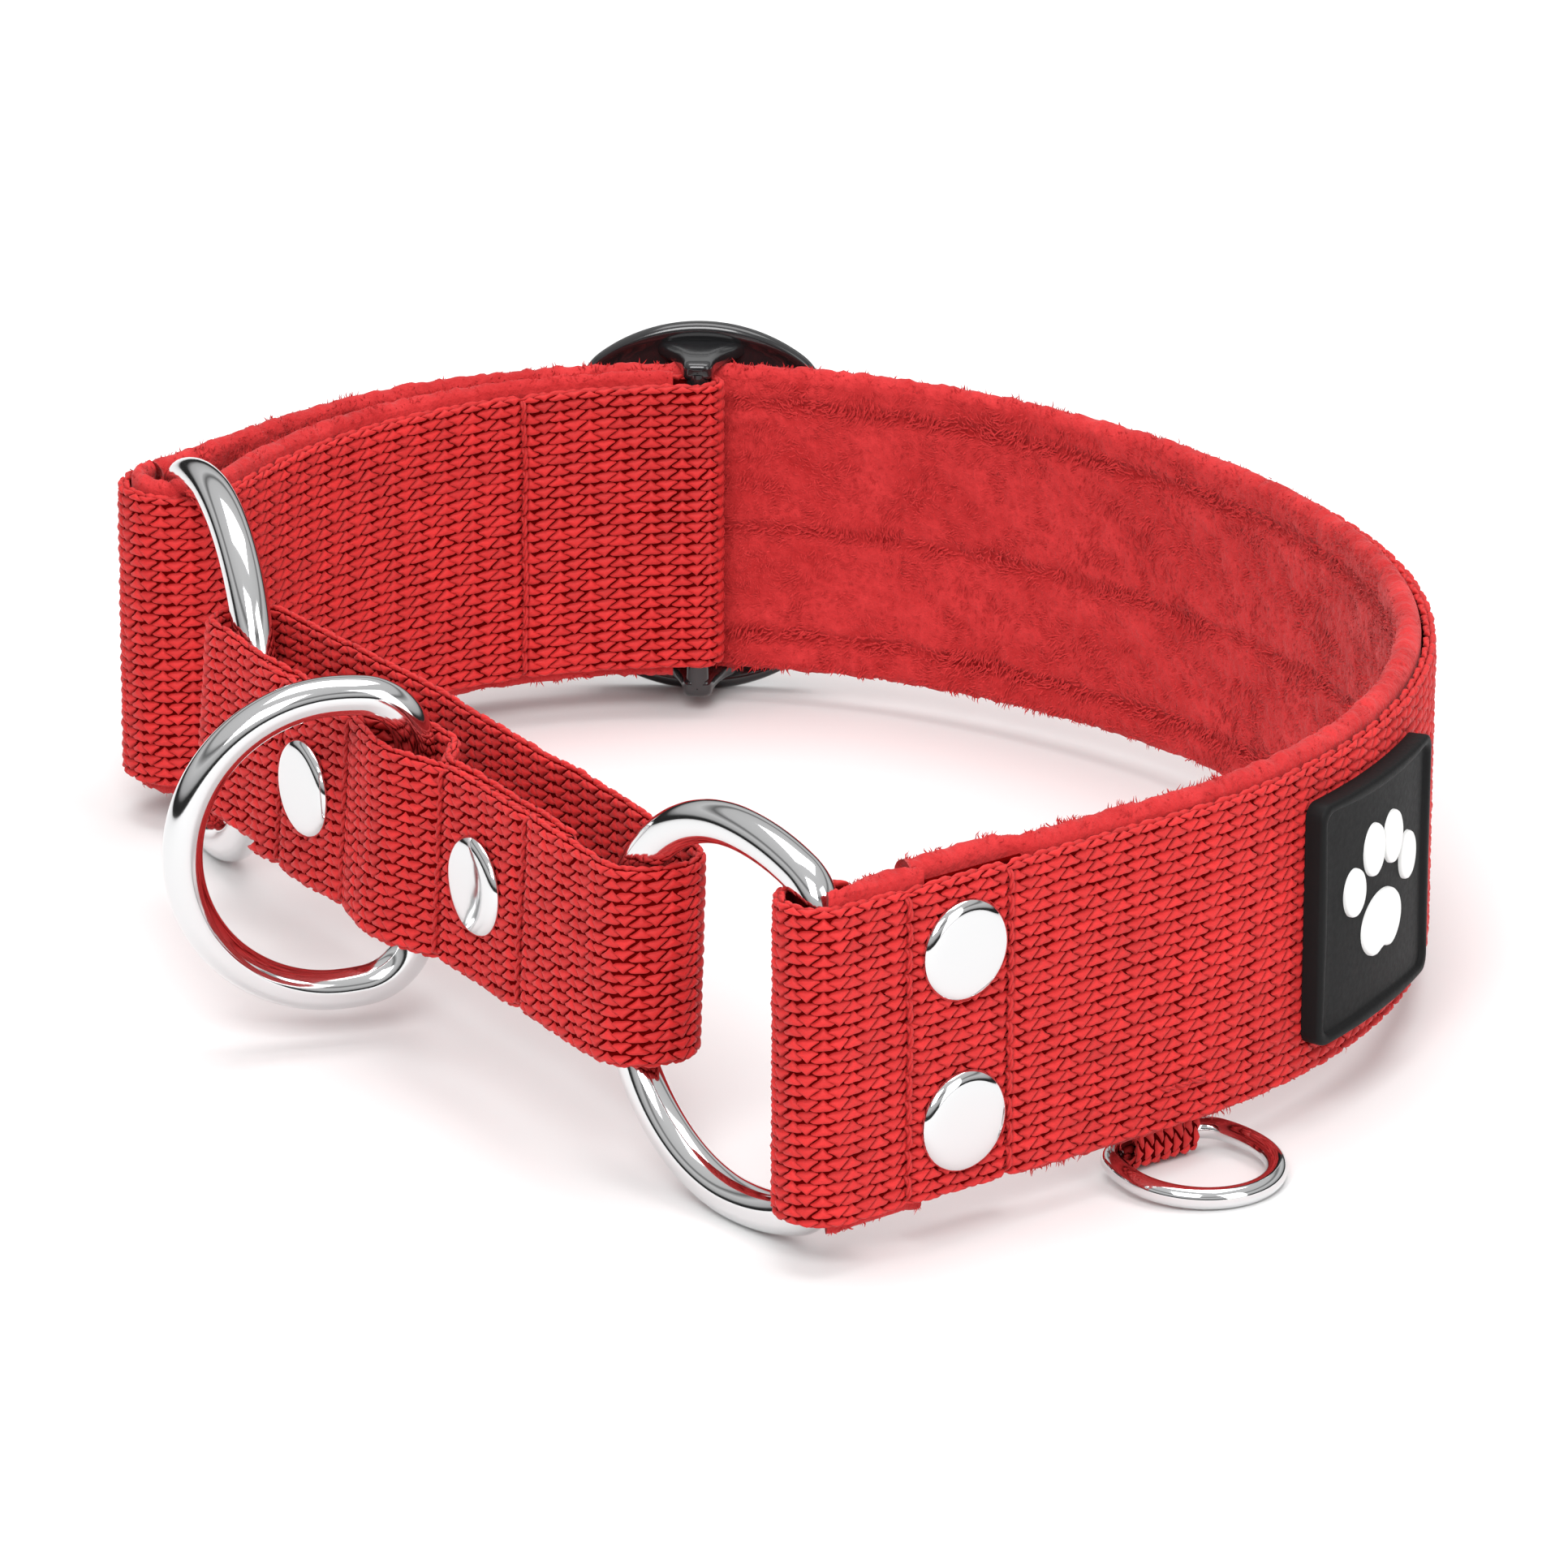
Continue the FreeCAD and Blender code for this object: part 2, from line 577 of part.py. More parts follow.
def make_tag(lining, rivet_holes):
    """Webbing tab sewn behind the strap's lower edge, and the tag ring hanging in its fold."""
    body = new_body("tag_tab_body")
    thick = size("tab_thick")
    radius = size("tab_fold_radius")
    rise = size("tab_rise")
    drop = size("tab_drop")
    tail = 2 * thick + gap
    bend = 1.6
    bar = Vector(radius, -drop, 0)
    bend_centre = Vector(tail + bend, 1.6, 0)
    angle = cross_over(bar, radius, bend_centre, bend, True)
    path = [
        (Vector(0, rise, 0), Vector(0, -drop, 0)),
        (bar, radius, 180, angle + 360),
        (polar(bar, radius, angle), polar(bend_centre, bend, angle + 180)),
        (bend_centre, bend, angle + 180, 180),
        (Vector(tail, bend_centre.y, 0), Vector(tail, rise, 0)),
    ]
    sketch = new_sketch(body, "tag_tab_section", outline(path, 0, thick))
    new_pad(body, "tag_tab_pad", sketch, "tab_width")
    # local x inward from the strap's inner face, local y up, local z along the strap
    off_face = web + size("tab_stand_off")
    spot = side_start + heading_vector(heading) * size("tag_along") + inward * off_face
    base = Vector(spot.x, spot.y, size("band_lift"))
    along = inward.cross(UP)
    body.Placement = Placement(base, Rotation(inward, UP, along, "ZXY"))
    named(body, "tag_tab")

    room = doc.addObject("Part::Box", "tag_tab_room")
    bind(room, Length=dim("2 * tab_thick + 1.4"), Width=dim("tab_rise + 6"), Height=dim("tab_width + 1"))
    room.Placement = body.Placement * Placement(Vector(-0.6, -5.0, -(size("tab_width") + 1) / 2),
                                                Rotation())
    below = doc.addObject("Part::Box", "tag_fold_room")
    bind(below, Length=dim("2 * tab_fold_radius + 1.4"), Width=dim("8"), Height=dim("tab_width + 1"))
    below.Placement = body.Placement * Placement(Vector(-0.6, -6.0, -(size("tab_width") + 1) / 2),
                                                 Rotation())
    cut("main_lining", lining, rivet_holes + [room, below])

    ring = d_ring("tag_ring", "tag_height", "tag_depth", "tag_wire", "tag_corner")
    centre = body.Placement.multVec(bar)
    fall = size("tag_depth") - size("tag_wire")
    dip = math.asin((centre.z - size("tag_wire") / 2) / fall)
    crown = -inward * math.cos(dip) - UP * math.sin(dip)
    bar_way = heading_vector(heading)
    ring.Placement = Placement(centre, Rotation(crown, bar_way, crown.cross(bar_way), "ZXY"))
    print("tag bar %.3f %.3f %.3f" % tuple(centre))

    spot = on_side(size("tag_along"), size("band_lift") + 5.5)
    thread = seam("tag_seam_thread", spot, "tab_width")
    thread.Placement = spot * Placement(Vector(0, 0, 0), Rotation(UP, 90)) * Placement(
        Vector(-size("thread_width") / 2, -(size("tab_width") / 2 - size("seam_margin")), 0.02),
        Rotation())
    named(thread, "tag_seam")


# ---------------------------------------------------------------- left side and slider
def make_left_side():
    knuckle = (flex_point, size("flex_round"))
    path = [flex_bend, left_bend, left_line, left_fold, return_join, return_short]
    named(ribbon("strap_body", outline(path, 0, web, knuckle), "webbing_width"), "left_webbing")
    side_lining = outline(path[:2], plush_near, plush_far, knuckle)
    lining = ribbon("left_lining_body", side_lining, "lining_width")
    pressed = plush_near + size("fold_lining_thick")
    fold_plan = new_sketch(lining, "fold_lining_plan", outline(path[2:], plush_near, pressed))
    new_pad(lining, "fold_lining_pad", fold_plan, "fold_lining_width")
    named(lining, "left_lining")


def make_return():
    named(ribbon("return_body", outline(return_path, 0, web), "webbing_width"), "return_webbing")
    covered = slider_angle + size("slider_tail") + 0.6
    plain = [(left_centre, size("return_radius"), return_start, covered)]
    lining = ribbon("return_lining_body", outline(plain, plush_near, plush_near + 2.8), "lining_width")
    under_tail = [(left_centre, size("return_radius"), covered + 0.05, slider_angle + 3.3)]
    pressed = plush_near + size("tail_lining_thick")
    tail_plan = new_sketch(lining, "tail_lining_plan", outline(under_tail, plush_near, pressed))
    new_pad(lining, "tail_lining_pad", tail_plan, "lining_width")
    named(lining, "return_lining")
    seam_angle = slider_angle + size("slider_tail") - 2.0
    spot = polar(left_centre, size("return_radius"), seam_angle)
    place = facing(Vector(spot.x, spot.y, mid_height), heading_vector(seam_angle + 180))
    named(seam("return_seam_thread", place), "return_seam")


def slider_outline(inset=0.0):
    """Rounded oval: two large end arcs, four corner arcs and two straight sides."""
    half_wide = size("slider_width") / 2 - inset
    top = size("slider_height") / 2 - inset
    end = size("slider_end_radius") - inset
    corner = size("slider_corner")
    end_centre = top - end
    corner_x = half_wide - corner
    corner_y = end_centre + math.sqrt((end - corner) ** 2 - corner_x ** 2)
    lean = math.degrees(math.atan2(corner_y - end_centre, corner_x))
    return [
        (Vector(half_wide, -corner_y, 0), Vector(half_wide, corner_y, 0)),
        (Vector(corner_x, corner_y, 0), corner, 0, lean),
        (Vector(0, end_centre, 0), end, lean, 180 - lean),
        (Vector(-corner_x, corner_y, 0), corner, 180 - lean, 180),
        (Vector(-half_wide, corner_y, 0), Vector(-half_wide, -corner_y, 0)),
        (Vector(-corner_x, -corner_y, 0), corner, 180, 180 + lean),
        (Vector(0, -end_centre, 0), end, 180 + lean, 360 - lean),
        (Vector(corner_x, -corner_y, 0), corner, 360 - lean, 360),
    ]


def make_slider():
    """Ring outside the strap, two dished ends that reach past its edges, and the centre bar."""
    bar_radius = size("return_radius") + size("bar_wrap_radius")
    window_drop = size("left_radius") - math.sqrt(size("left_radius") ** 2 - (size("slider_window") / 2) ** 2)
    plate_inner = size("left_radius") - window_drop + size("slider_clear") - bar_radius
    plate_outer = plate_inner + size("slider_plate")
    bar_half = size("slider_bar") / 2
    window = size("slider_window") / 2
    lip_low = size("webbing_width") / 2 + 1.0
    top = size("slider_height") / 2
    place = facing(Vector(bar_centre.x, bar_centre.y, mid_height), heading_vector(slider_angle))

    plate = new_body("slider_plate_body")
    sketch = new_sketch(plate, "slider_plate_outline", [curve(piece) for piece in slider_outline()])
    pad = new_pad(plate, "slider_plate_pad", sketch, "slider_plate", symmetric=False)
    doc.recompute()
    solid = pad.Shape.Volume
    opening = rounded([(0, -lip_low, 0), (window, -lip_low, 4.0), (window, lip_low, 4.0),
                       (-window, lip_low, 4.0), (-window, -lip_low, 4.0), (0, -lip_low, 0)])
    hollow = new_sketch(plate, "slider_window_outline", [curve(piece) for piece in opening])
    pocket = plate.newObject("PartDesign::Pocket", "slider_window_pocket")
    pocket.Profile = hollow
    pocket.Type = "ThroughAll"
    pocket.Reversed = True
    doc.recompute()
    print("slider window takes out %.0f mm3" % (solid - pocket.Shape.Volume))
    plate.Placement = place * Placement(Vector(0, 0, plate_inner), Rotation())

    block = new_body("slider_block")
    new_pad(block, "slider_block_pad",
            new_sketch(block, "slider_block_outline", [curve(piece) for piece in slider_outline(0.3)]),
            "4 * bar_wrap_radius + 6")
    block.Placement = place

    lips = []
    for side in (1, -1):
        lip = new_body("slider_lip_%s" % ("top" if side > 0 else "bottom"))
        points = [(-bar_half, lip_low), (plate_outer - 1.0, lip_low), (plate_outer - 1.0, top),
                  (plate_inner - 0.5, top - 0.4), (2.0, lip_low + size("slider_lip")),
                  (-bar_half, lip_low + size("slider_lip"))]
        corners = [Vector(side * y, x, 0) for x, y in points]
        edges = [Part.LineSegment(a, b) for a, b in zip(corners, corners[1:] + corners[:1])]
        new_pad(lip, lip.Name + "_pad", new_sketch(lip, lip.Name + "_section", edges),
                "slider_lip_width")
        # section drawn with local x up and local y outward, padded along the strap
        lip.Placement = place * Placement(Vector(), Rotation(Vector(0, 1, 0), Vector(0, 0, 1),
                                                             Vector(1, 0, 0), "ZXY"))
        lips.append(lip)
    both = doc.addObject("Part::Compound", "slider_lips")
    both.Links = lips
    trimmed_lips = doc.addObject("Part::Common", "slider_ends")
    trimmed_lips.Base = both
    trimmed_lips.Tool = block

    bar = doc.addObject("Part::Cylinder", "slider_bar_rod")
    bind(bar, Radius=dim("slider_bar / 2"), Height=dim("webbing_width + 4"))
    bar.Placement = Placement(Vector(bar_centre.x, bar_centre.y, mid_height - size("webbing_width") / 2 - 2),
                              Rotation())
    slider = doc.addObject("Part::MultiFuse", "slider_fuse")
    slider.Shapes = [plate, trimmed_lips, bar]
    named(slider, "slider")


# ---------------------------------------------------------------- rings and control loop
def make_control_loop():
    """One narrow strap wound into a loop; its overlapped ends are sewn, riveted and hold the leash ring.

    Local frame: origin at the right crown, +X along the loop to the right, -Y outward.
    """
    right_crown = polar(right_bar, size("ring_depth") - size("ring_wire"), size("right_ring_angle"))
    left_crown = polar(left_bar, size("ring_depth") - size("ring_wire"), size("left_ring_angle"))
    way = right_crown - left_crown
    lean = math.degrees(math.atan2(way.y, way.x))
    thick = size("loop_thick")
    bar_x = -size("leash_bar_along")
    bar_y = -size("leash_bar_out")
    clear = size("leash_wire") / 2 + 0.35
    tunnel_in = bar_y + clear
    ply = thick + 2 * gap
    face_left = -6.9
    face_right = -5.2
    right_edge, left_edge = 9.6, -107.4
    front = [(-45.0, face_left, 20.0), (-34.5, face_right, 12.0)]
    path = rounded(
        [(-84.0, face_left, 0)] + front
        + [(right_edge, face_right, 6.5), (right_edge, 8.6, 6.5), (-20.0, 9.2, 150.0),
           (-60.0, 8.8, 150.0), (left_edge, 6.4, 5.5), (left_edge, face_left + ply, 5.5),
           (-58.5, face_left + ply, 8.0), (bar_x - 3.0, tunnel_in, 6.0),
           (bar_x + 3.0, tunnel_in, 6.0), (-40.0, face_left + ply + 0.9, 8.0),
           (-34.5, face_right + ply, 10.0), (-8.0, face_right + ply, 0)])
    strap = ribbon("control_loop_body", outline(path, 0, thick), "loop_width")
    loop_place = Placement(Vector(right_crown.x, right_crown.y, 0), Rotation(UP, lean))
    loop_height = mid_height + size("loop_lift")
    strap.Placement = Placement(Vector(right_crown.x, right_crown.y, loop_height), Rotation(UP, lean))
    bind(strap, Placement__Base__z=dim("band_lift + webbing_width / 2 + loop_lift"))

    def on_face(x):
        """Placement on the loop's outer face, where its front is x along it."""
        for start, end in [piece for piece in path[:5] if not is_arc(piece)]:
            if start.x <= x <= end.x:
                along = end - start
                point = start + along * ((x - start.x) / along.x)
                return loop_place * facing(Vector(point.x, point.y, loop_height),
                                           Vector(along.y, -along.x, 0))
        raise ValueError("no flat stretch at %.1f" % x)

    stack = thick + ply
    caps, posts, holes = [], [], []
    for number, x in enumerate((-27.3, -70.3), start=1):
        place = on_face(x)
        cap = rivet_cap("loop_cap_%d" % number)
        cap.Placement = place
        post = rivet_post("loop_post_%d" % number, stack, "loop_rivet_back_radius")
        post.Placement = place
        caps.append(cap)
        posts.append(post)
        holes.append(hole("loop_hole_%d" % number, place, stack))
    cut("control_loop", strap, holes)
    group("loop_rivet_caps", caps)
    group("loop_rivet_posts", posts)
    group("loop_seams", [seam("loop_seam_%d" % number, on_face(x), "loop_width")
                         for number, x in enumerate((-78.0, -60.3, -37.0, -16.4), start=1)])

    leash_bar = loop_place.multVec(Vector(bar_x, bar_y, 0))
    for label, bar, angle in (("right_ring", right_bar, "right_ring_angle"),
                              ("left_ring", left_bar, "left_ring_angle")):
        ring = d_ring(label, "ring_height", "ring_depth", "ring_wire", "ring_corner")
        stand_ring(ring, bar, size(angle))
    ring = d_ring("leash_ring", "leash_height", "leash_depth", "leash_wire", "leash_corner")
    stand_ring(ring, leash_bar, size("leash_angle"))
    print("right crown %.3f %.3f" % (right_crown.x, right_crown.y), "loop lean %.3f" % lean)
    print("leash bar %.3f %.3f" % (leash_bar.x, leash_bar.y))


main_lining, band_holes = make_band()
make_badge()
make_tag(main_lining, band_holes)
make_left_side()
make_return()
make_slider()
make_control_loop()

# ---------------------------------------------------------------- check and export
NODES = [
    "main_webbing", "main_lining", "fold_seams", "band_rivet_caps", "band_rivet_posts",
    "badge_base", "badge_paw", "tag_tab", "tag_seam", "left_webbing", "left_lining",
    "return_webbing", "return_lining", "return_seam", "slider", "left_ring", "right_ring",
    "control_loop", "loop_rivet_caps", "loop_rivet_posts", "loop_seams", "leash_ring", "tag_ring",
]
doc.recompute()
for item in doc.Objects:
    if "Invalid" in item.State or "Error" in item.State:
        raise RuntimeError("%s did not compute" % item.Label)
os.makedirs("parts", exist_ok=True)
whole = FreeCAD.BoundBox()
for node in NODES:
    shape = doc.getObjectsByLabel(node)[0].Shape
    if shape.isNull() or not shape.isValid():
        raise RuntimeError("%s has no valid shape" % node)
    whole.add(shape.optimalBoundingBox())
    shape.exportStep("parts/%s.step" % node)
    print("%-18s %d solids %9.1f mm3" % (node, len(shape.Solids), shape.Volume))
print("box x %.2f..%.2f y %.2f..%.2f z %.2f..%.2f" % (whole.XMin, whole.XMax, whole.YMin, whole.YMax,
                                                   whole.ZMin, whole.ZMax))
for label, point in (("flex line", flex_point), ("left bend centre", left_centre),
                     ("left bar", left_bar), ("right bar", right_bar), ("slider bar", bar_centre)):
    print("%s %.3f %.3f" % (label, point.x, point.y))
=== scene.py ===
"""Looks of the martingale collar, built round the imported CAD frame.

Lengths inside this file are millimetres in the row frame; mesh_piece() turns them into metres.
"""
import json
import math

import bmesh
import bpy
import numpy as np
from mathutils import Matrix, Vector


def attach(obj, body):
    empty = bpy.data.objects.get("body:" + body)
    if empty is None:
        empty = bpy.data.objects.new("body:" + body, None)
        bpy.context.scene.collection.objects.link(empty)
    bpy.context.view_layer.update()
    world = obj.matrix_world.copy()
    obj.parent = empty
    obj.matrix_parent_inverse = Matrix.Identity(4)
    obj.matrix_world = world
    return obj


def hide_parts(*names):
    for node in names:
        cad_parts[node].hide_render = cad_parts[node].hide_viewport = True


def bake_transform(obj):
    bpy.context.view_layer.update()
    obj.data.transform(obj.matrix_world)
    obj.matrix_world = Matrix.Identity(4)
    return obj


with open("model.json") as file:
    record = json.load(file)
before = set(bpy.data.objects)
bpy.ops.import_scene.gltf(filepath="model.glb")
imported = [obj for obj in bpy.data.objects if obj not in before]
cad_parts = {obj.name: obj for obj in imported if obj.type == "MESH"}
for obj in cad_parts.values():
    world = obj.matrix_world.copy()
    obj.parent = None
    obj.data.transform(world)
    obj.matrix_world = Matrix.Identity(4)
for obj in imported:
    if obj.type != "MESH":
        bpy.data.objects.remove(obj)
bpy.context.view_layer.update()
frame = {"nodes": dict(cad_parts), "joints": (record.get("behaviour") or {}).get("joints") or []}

MM = 0.001
JOINT = {joint["name"]: np.array(joint["pos_m"]) * 1000 for joint in frame["joints"]}

# ------------------------------------------------------------------ sizes shared with the CAD part
MID_Z = 26.0
WEB_W, WEB_T = 40.0, 1.8
LINING_W, LINING_T = 42.4, 3.3
PLY_GAP = 0.05
HEADING = 97.0
FOLD_R, LEFT_FOLD_R = 5.7, 8.2
LEFT_R, RETURN_R = 72.5, 59.6
WRAP_R = 3.55
SLIDER_ANGLE, TAIL_ANGLE = 146.2, 24.3
TAIL_GAP = 1.8
SIDE_LENGTH, CORNER_R, CORNER_SWEEP = 49.3, 92.0, 74.5      # right side and front corner
BACK_R, FLEX_SWEEP, PAST_FLEX = 117.0, 27.0, 13.8           # back, up to and past the flex line
LEFT_REACH, LEFT_BEARING = 68.3, 218.5                      # left bend's centre to the left bar
CUT_END, CUT_TURN, CUT_BEND = 27.5, 12.0, 6.0               # cut end behind the right fold
SEWN_BEND, SEWN_LEAD = 5.0, 9.0                             # sewn end behind the slider
RIGHT_CROWN_TO, LEFT_CROWN_TO, LEASH_CROWN_TO = 186.3, -13.7, 254.0
RING_H, RING_D, RING_WIRE, RING_CORNER = 52.0, 43.9, 5.2, 5.6
LEASH_H, LEASH_D, LEASH_WIRE, LEASH_CORNER = 43.4, 34.3, 5.0, 7.5
TAG_H, TAG_D, TAG_WIRE, TAG_CORNER = 22.0, 20.0, 2.7, 4.0
LOOP_W, LOOP_T, LOOP_Z = 25.4, 1.6, 26.7
BADGE_SIDE, BADGE_T = 31.0, 2.0

RIGHT_BAR = JOINT["right_ring_swing"][:2]
LEFT_BAR = JOINT["left_ring_swing"][:2]
LEASH_BAR = JOINT["leash_ring_swing"][:2]
TAG_BAR = JOINT["tag_ring_swing"]
RIGHT_CROWN = JOINT["loop_turn"][:2]


# ------------------------------------------------------------------ plan paths
def unit(angle):
    a = np.radians(angle)
    return np.array([np.cos(a), np.sin(a)])


def polar(centre, radius, angle):
    return np.asarray(centre, float) + radius * unit(angle)


def bearing(vector):
    return math.degrees(math.atan2(vector[1], vector[0]))


def cross_over(centre_1, radius_1, centre_2, radius_2, first_is_left):
    """Angle, on the first circle, of the line that crosses between two circles."""
    between = np.asarray(centre_2) - np.asarray(centre_1)
    swing = math.degrees(math.acos((radius_1 + radius_2) / np.hypot(*between)))
    return bearing(between) + (-swing if first_is_left else swing)


class Route:
    """A path of lines (start, end) and arcs (centre, radius, from, to) with offsets to its left."""

    def __init__(self, pieces, origin=(0.0, 0.0), turn=0.0):
        self.pieces = pieces
        self.origin = np.asarray(origin, float)
        self.turn = math.radians(turn)
        lengths = []
        for piece in pieces:
            if len(piece) == 2:
                lengths.append(float(np.hypot(*(np.subtract(piece[1], piece[0])))))
            else:
                lengths.append(abs(math.radians(piece[3] - piece[2])) * piece[1])
        self.starts = np.concatenate([[0.0], np.cumsum(lengths)])
        self.length = float(self.starts[-1])

    def at(self, s, n):
        """Plan points at arc lengths s, n to the left of travel."""
        s, n = np.broadcast_arrays(np.asarray(s, float), np.asarray(n, float))
        out = np.zeros(s.shape + (2,))
        index = np.clip(np.searchsorted(self.starts, s, side="right") - 1, 0, len(self.pieces) - 1)
        for i, piece in enumerate(self.pieces):
            here = index == i
            if not here.any():
                continue
            t = s[here] - self.starts[i]
            if len(piece) == 2:
                start, end = np.asarray(piece[0], float), np.asarray(piece[1], float)
                way = (end - start) / np.hypot(*(end - start))
                side = np.array([-way[1], way[0]])
                out[here] = start + t[:, None] * way + n[here][:, None] * side
            else:
                centre, radius, start, end = piece
                sign = 1.0 if end > start else -1.0
                angle = np.radians(start) + sign * t / radius
                reach = radius - sign * n[here]
                out[here] = np.asarray(centre) + np.stack(
                    [reach * np.cos(angle), reach * np.sin(angle)], axis=-1)
        c, k = math.cos(self.turn), math.sin(self.turn)
        return self.origin + out @ np.array([[c, k], [-k, c]])

    def direction(self, s):
        step = self.at(s + 0.05, 0.0) - self.at(s - 0.05, 0.0)
        return step / np.linalg.norm(step, axis=-1, keepdims=True)


def rounded(points):
    """A path through points (x, y, radius) whose corners are rounded by those radii."""
    path = []
    here = np.array(points[0][:2], float)
    for (x, y, radius), after in zip(points[1:-1], points[2:]):
        corner = np.array([x, y], float)
        way_in = (corner - here) / np.hypot(*(corner - here))
        way_out = np.array(after[:2]) - corner
        way_out = way_out / np.hypot(*way_out)
        turn = math.degrees(math.atan2(way_in[0] * way_out[1] - way_in[1] * way_out[0],
                                       way_in @ way_out))
        reach = radius * math.tan(math.radians(abs(turn)) / 2)
        touch = corner - way_in * reach
        side = 90 if turn > 0 else -90
        if np.hypot(*(touch - here)) > 1e-6:
            path.append((here, touch))
        start = bearing(way_in) - side
        path.append((polar(touch, radius, bearing(way_in) + side), radius, start, start + turn))
        here = corner + way_out * reach
    path.append((here, np.array(points[-1][:2], float)))
    return path


def strap_route():
    """The whole main strap, along its outer face, from the right tail to the sewn left end."""
    side_start = polar(RIGHT_BAR, FOLD_R, HEADING - 90)
    up = unit(HEADING)
    inward = unit(HEADING + 90)
    tail_offset = 2 * WEB_T + PLY_GAP
    tail_start = side_start + up * CUT_END
    tail_turn = side_start + up * CUT_TURN
    bend_centre = tail_turn + inward * (tail_offset + CUT_BEND)
    leave = cross_over(bend_centre, CUT_BEND, RIGHT_BAR, FOLD_R, False)
    side_end = side_start + up * SIDE_LENGTH
    corner_centre = polar(side_end, CORNER_R, HEADING + 90)
    corner_end = HEADING - 90 + CORNER_SWEEP
    back_centre = polar(corner_centre, CORNER_R - BACK_R, corner_end)
    left_start = corner_end + FLEX_SWEEP + PAST_FLEX
    left_centre = polar(back_centre, BACK_R - LEFT_R, left_start)
    run_out = LEFT_BEARING - math.degrees(math.acos((LEFT_R - LEFT_FOLD_R) / LEFT_REACH))
    join = cross_over(LEFT_BAR, LEFT_FOLD_R, left_centre, RETURN_R, True)
    bar = polar(left_centre, RETURN_R + WRAP_R, SLIDER_ANGLE)
    sewn_r = RETURN_R + tail_offset + TAIL_GAP
    sewn_from = SLIDER_ANGLE + SEWN_LEAD
    sewn_centre = polar(left_centre, sewn_r + SEWN_BEND, sewn_from)
    wrap = cross_over(bar, WRAP_R, sewn_centre, SEWN_BEND, True) % 360
    pieces = [
        (tail_start + inward * tail_offset, tail_turn + inward * tail_offset),
        (bend_centre, CUT_BEND, HEADING - 90, leave),
        (polar(bend_centre, CUT_BEND, leave), polar(RIGHT_BAR, FOLD_R, leave + 180)),
        (RIGHT_BAR, FOLD_R, leave - 180, HEADING - 90),
        (side_start, side_end),
        (corner_centre, CORNER_R, HEADING - 90, corner_end),
        (back_centre, BACK_R, corner_end, left_start),
        (left_centre, LEFT_R, left_start, run_out),
        (polar(left_centre, LEFT_R, run_out), polar(LEFT_BAR, LEFT_FOLD_R, run_out)),
        (LEFT_BAR, LEFT_FOLD_R, run_out, join + 360),
        (polar(LEFT_BAR, LEFT_FOLD_R, join), polar(left_centre, RETURN_R, join + 180)),
        (left_centre, RETURN_R, join + 180, SLIDER_ANGLE),
        (bar, WRAP_R, SLIDER_ANGLE - 180, wrap),
        (polar(bar, WRAP_R, wrap), polar(sewn_centre, SEWN_BEND, wrap + 180)),
        (sewn_centre, SEWN_BEND, wrap + 180, sewn_from + 180),
        (left_centre, sewn_r, sewn_from, SLIDER_ANGLE + TAIL_ANGLE),
    ]
    return Route(pieces), corner_centre, bar


def loop_route():
    """The control loop's strap along its outer face, in the plan frame."""
    crown = RIGHT_CROWN
    left = polar(LEFT_BAR, RING_D - RING_WIRE, LEFT_CROWN_TO)
    lean = bearing(crown - left)
    ply = LOOP_T + 2 * PLY_GAP
    bar_x, tunnel_in = -49.3, -2.1 + LEASH_WIRE / 2 + 0.35
    left_face, right_face = -6.9, -5.2
    points = [
        (-84.0, left_face, 0), (-45.0, left_face, 20.0), (-34.5, right_face, 12.0),
        (9.6, right_face, 6.5), (9.6, 8.6, 6.5), (-20.0, 9.2, 150.0), (-60.0, 8.8, 150.0),
        (-107.4, 6.4, 5.5), (-107.4, left_face + ply, 5.5), (-58.5, left_face + ply, 8.0),
        (bar_x - 3.0, tunnel_in, 6.0), (bar_x + 3.0, tunnel_in, 6.0),
        (-40.0, left_face + ply + 0.9, 8.0), (-34.5, right_face + ply, 10.0),
        (-8.0, right_face + ply, 0)]
    return Route(rounded(points), crown, lean), lean


STRAP, CORNER_CENTRE, SLIDER_BAR = strap_route()
LOOP, LOOP_LEAN = loop_route()
S_SIDE = STRAP.starts[4]        # start of the right side, at the end of the right fold
S_LEFT_FOLD = STRAP.starts[9]   # start of the left fold
S_RETURN = STRAP.starts[11]     # start of the returning strap's bend


# ------------------------------------------------------------------ noise and mesh helpers
def value_noise(x, y, seed):
    """Smooth noise in 0..1 over the plane, with a lattice pitch of one."""
    table = np.random.default_rng(seed).random((128, 128))
    xi, yi = np.floor(x).astype(int), np.floor(y).astype(int)
    fx, fy = x - xi, y - yi
    fx, fy = fx * fx * (3 - 2 * fx), fy * fy * (3 - 2 * fy)
    a, b = table[xi & 127, yi & 127], table[(xi + 1) & 127, yi & 127]
    c, d = table[xi & 127, (yi + 1) & 127], table[(xi + 1) & 127, (yi + 1) & 127]
    return (a * (1 - fx) + b * fx) * (1 - fy) + (c * (1 - fx) + d * fx) * fy


def fbm(x, y, seed, octaves=3):
    total, weight, scale = 0.0, 0.0, 1.0
    for octave in range(octaves):
        total = total + value_noise(x * scale, y * scale, seed + octave) / scale
        weight += 1 / scale
        scale *= 2.1
    return total / weight


def grid_faces(rows, columns, wrap=False):
    """Quads over a grid of vertices numbered row by row."""
    across = columns if wrap else columns - 1
    i, j = np.meshgrid(np.arange(rows - 1), np.arange(across), indexing="ij")
    k = (j + 1) % columns
    return np.stack([i * columns + j, (i + 1) * columns + j, (i + 1) * columns + k,
                     i * columns + k], axis=-1).reshape(-1, 4)


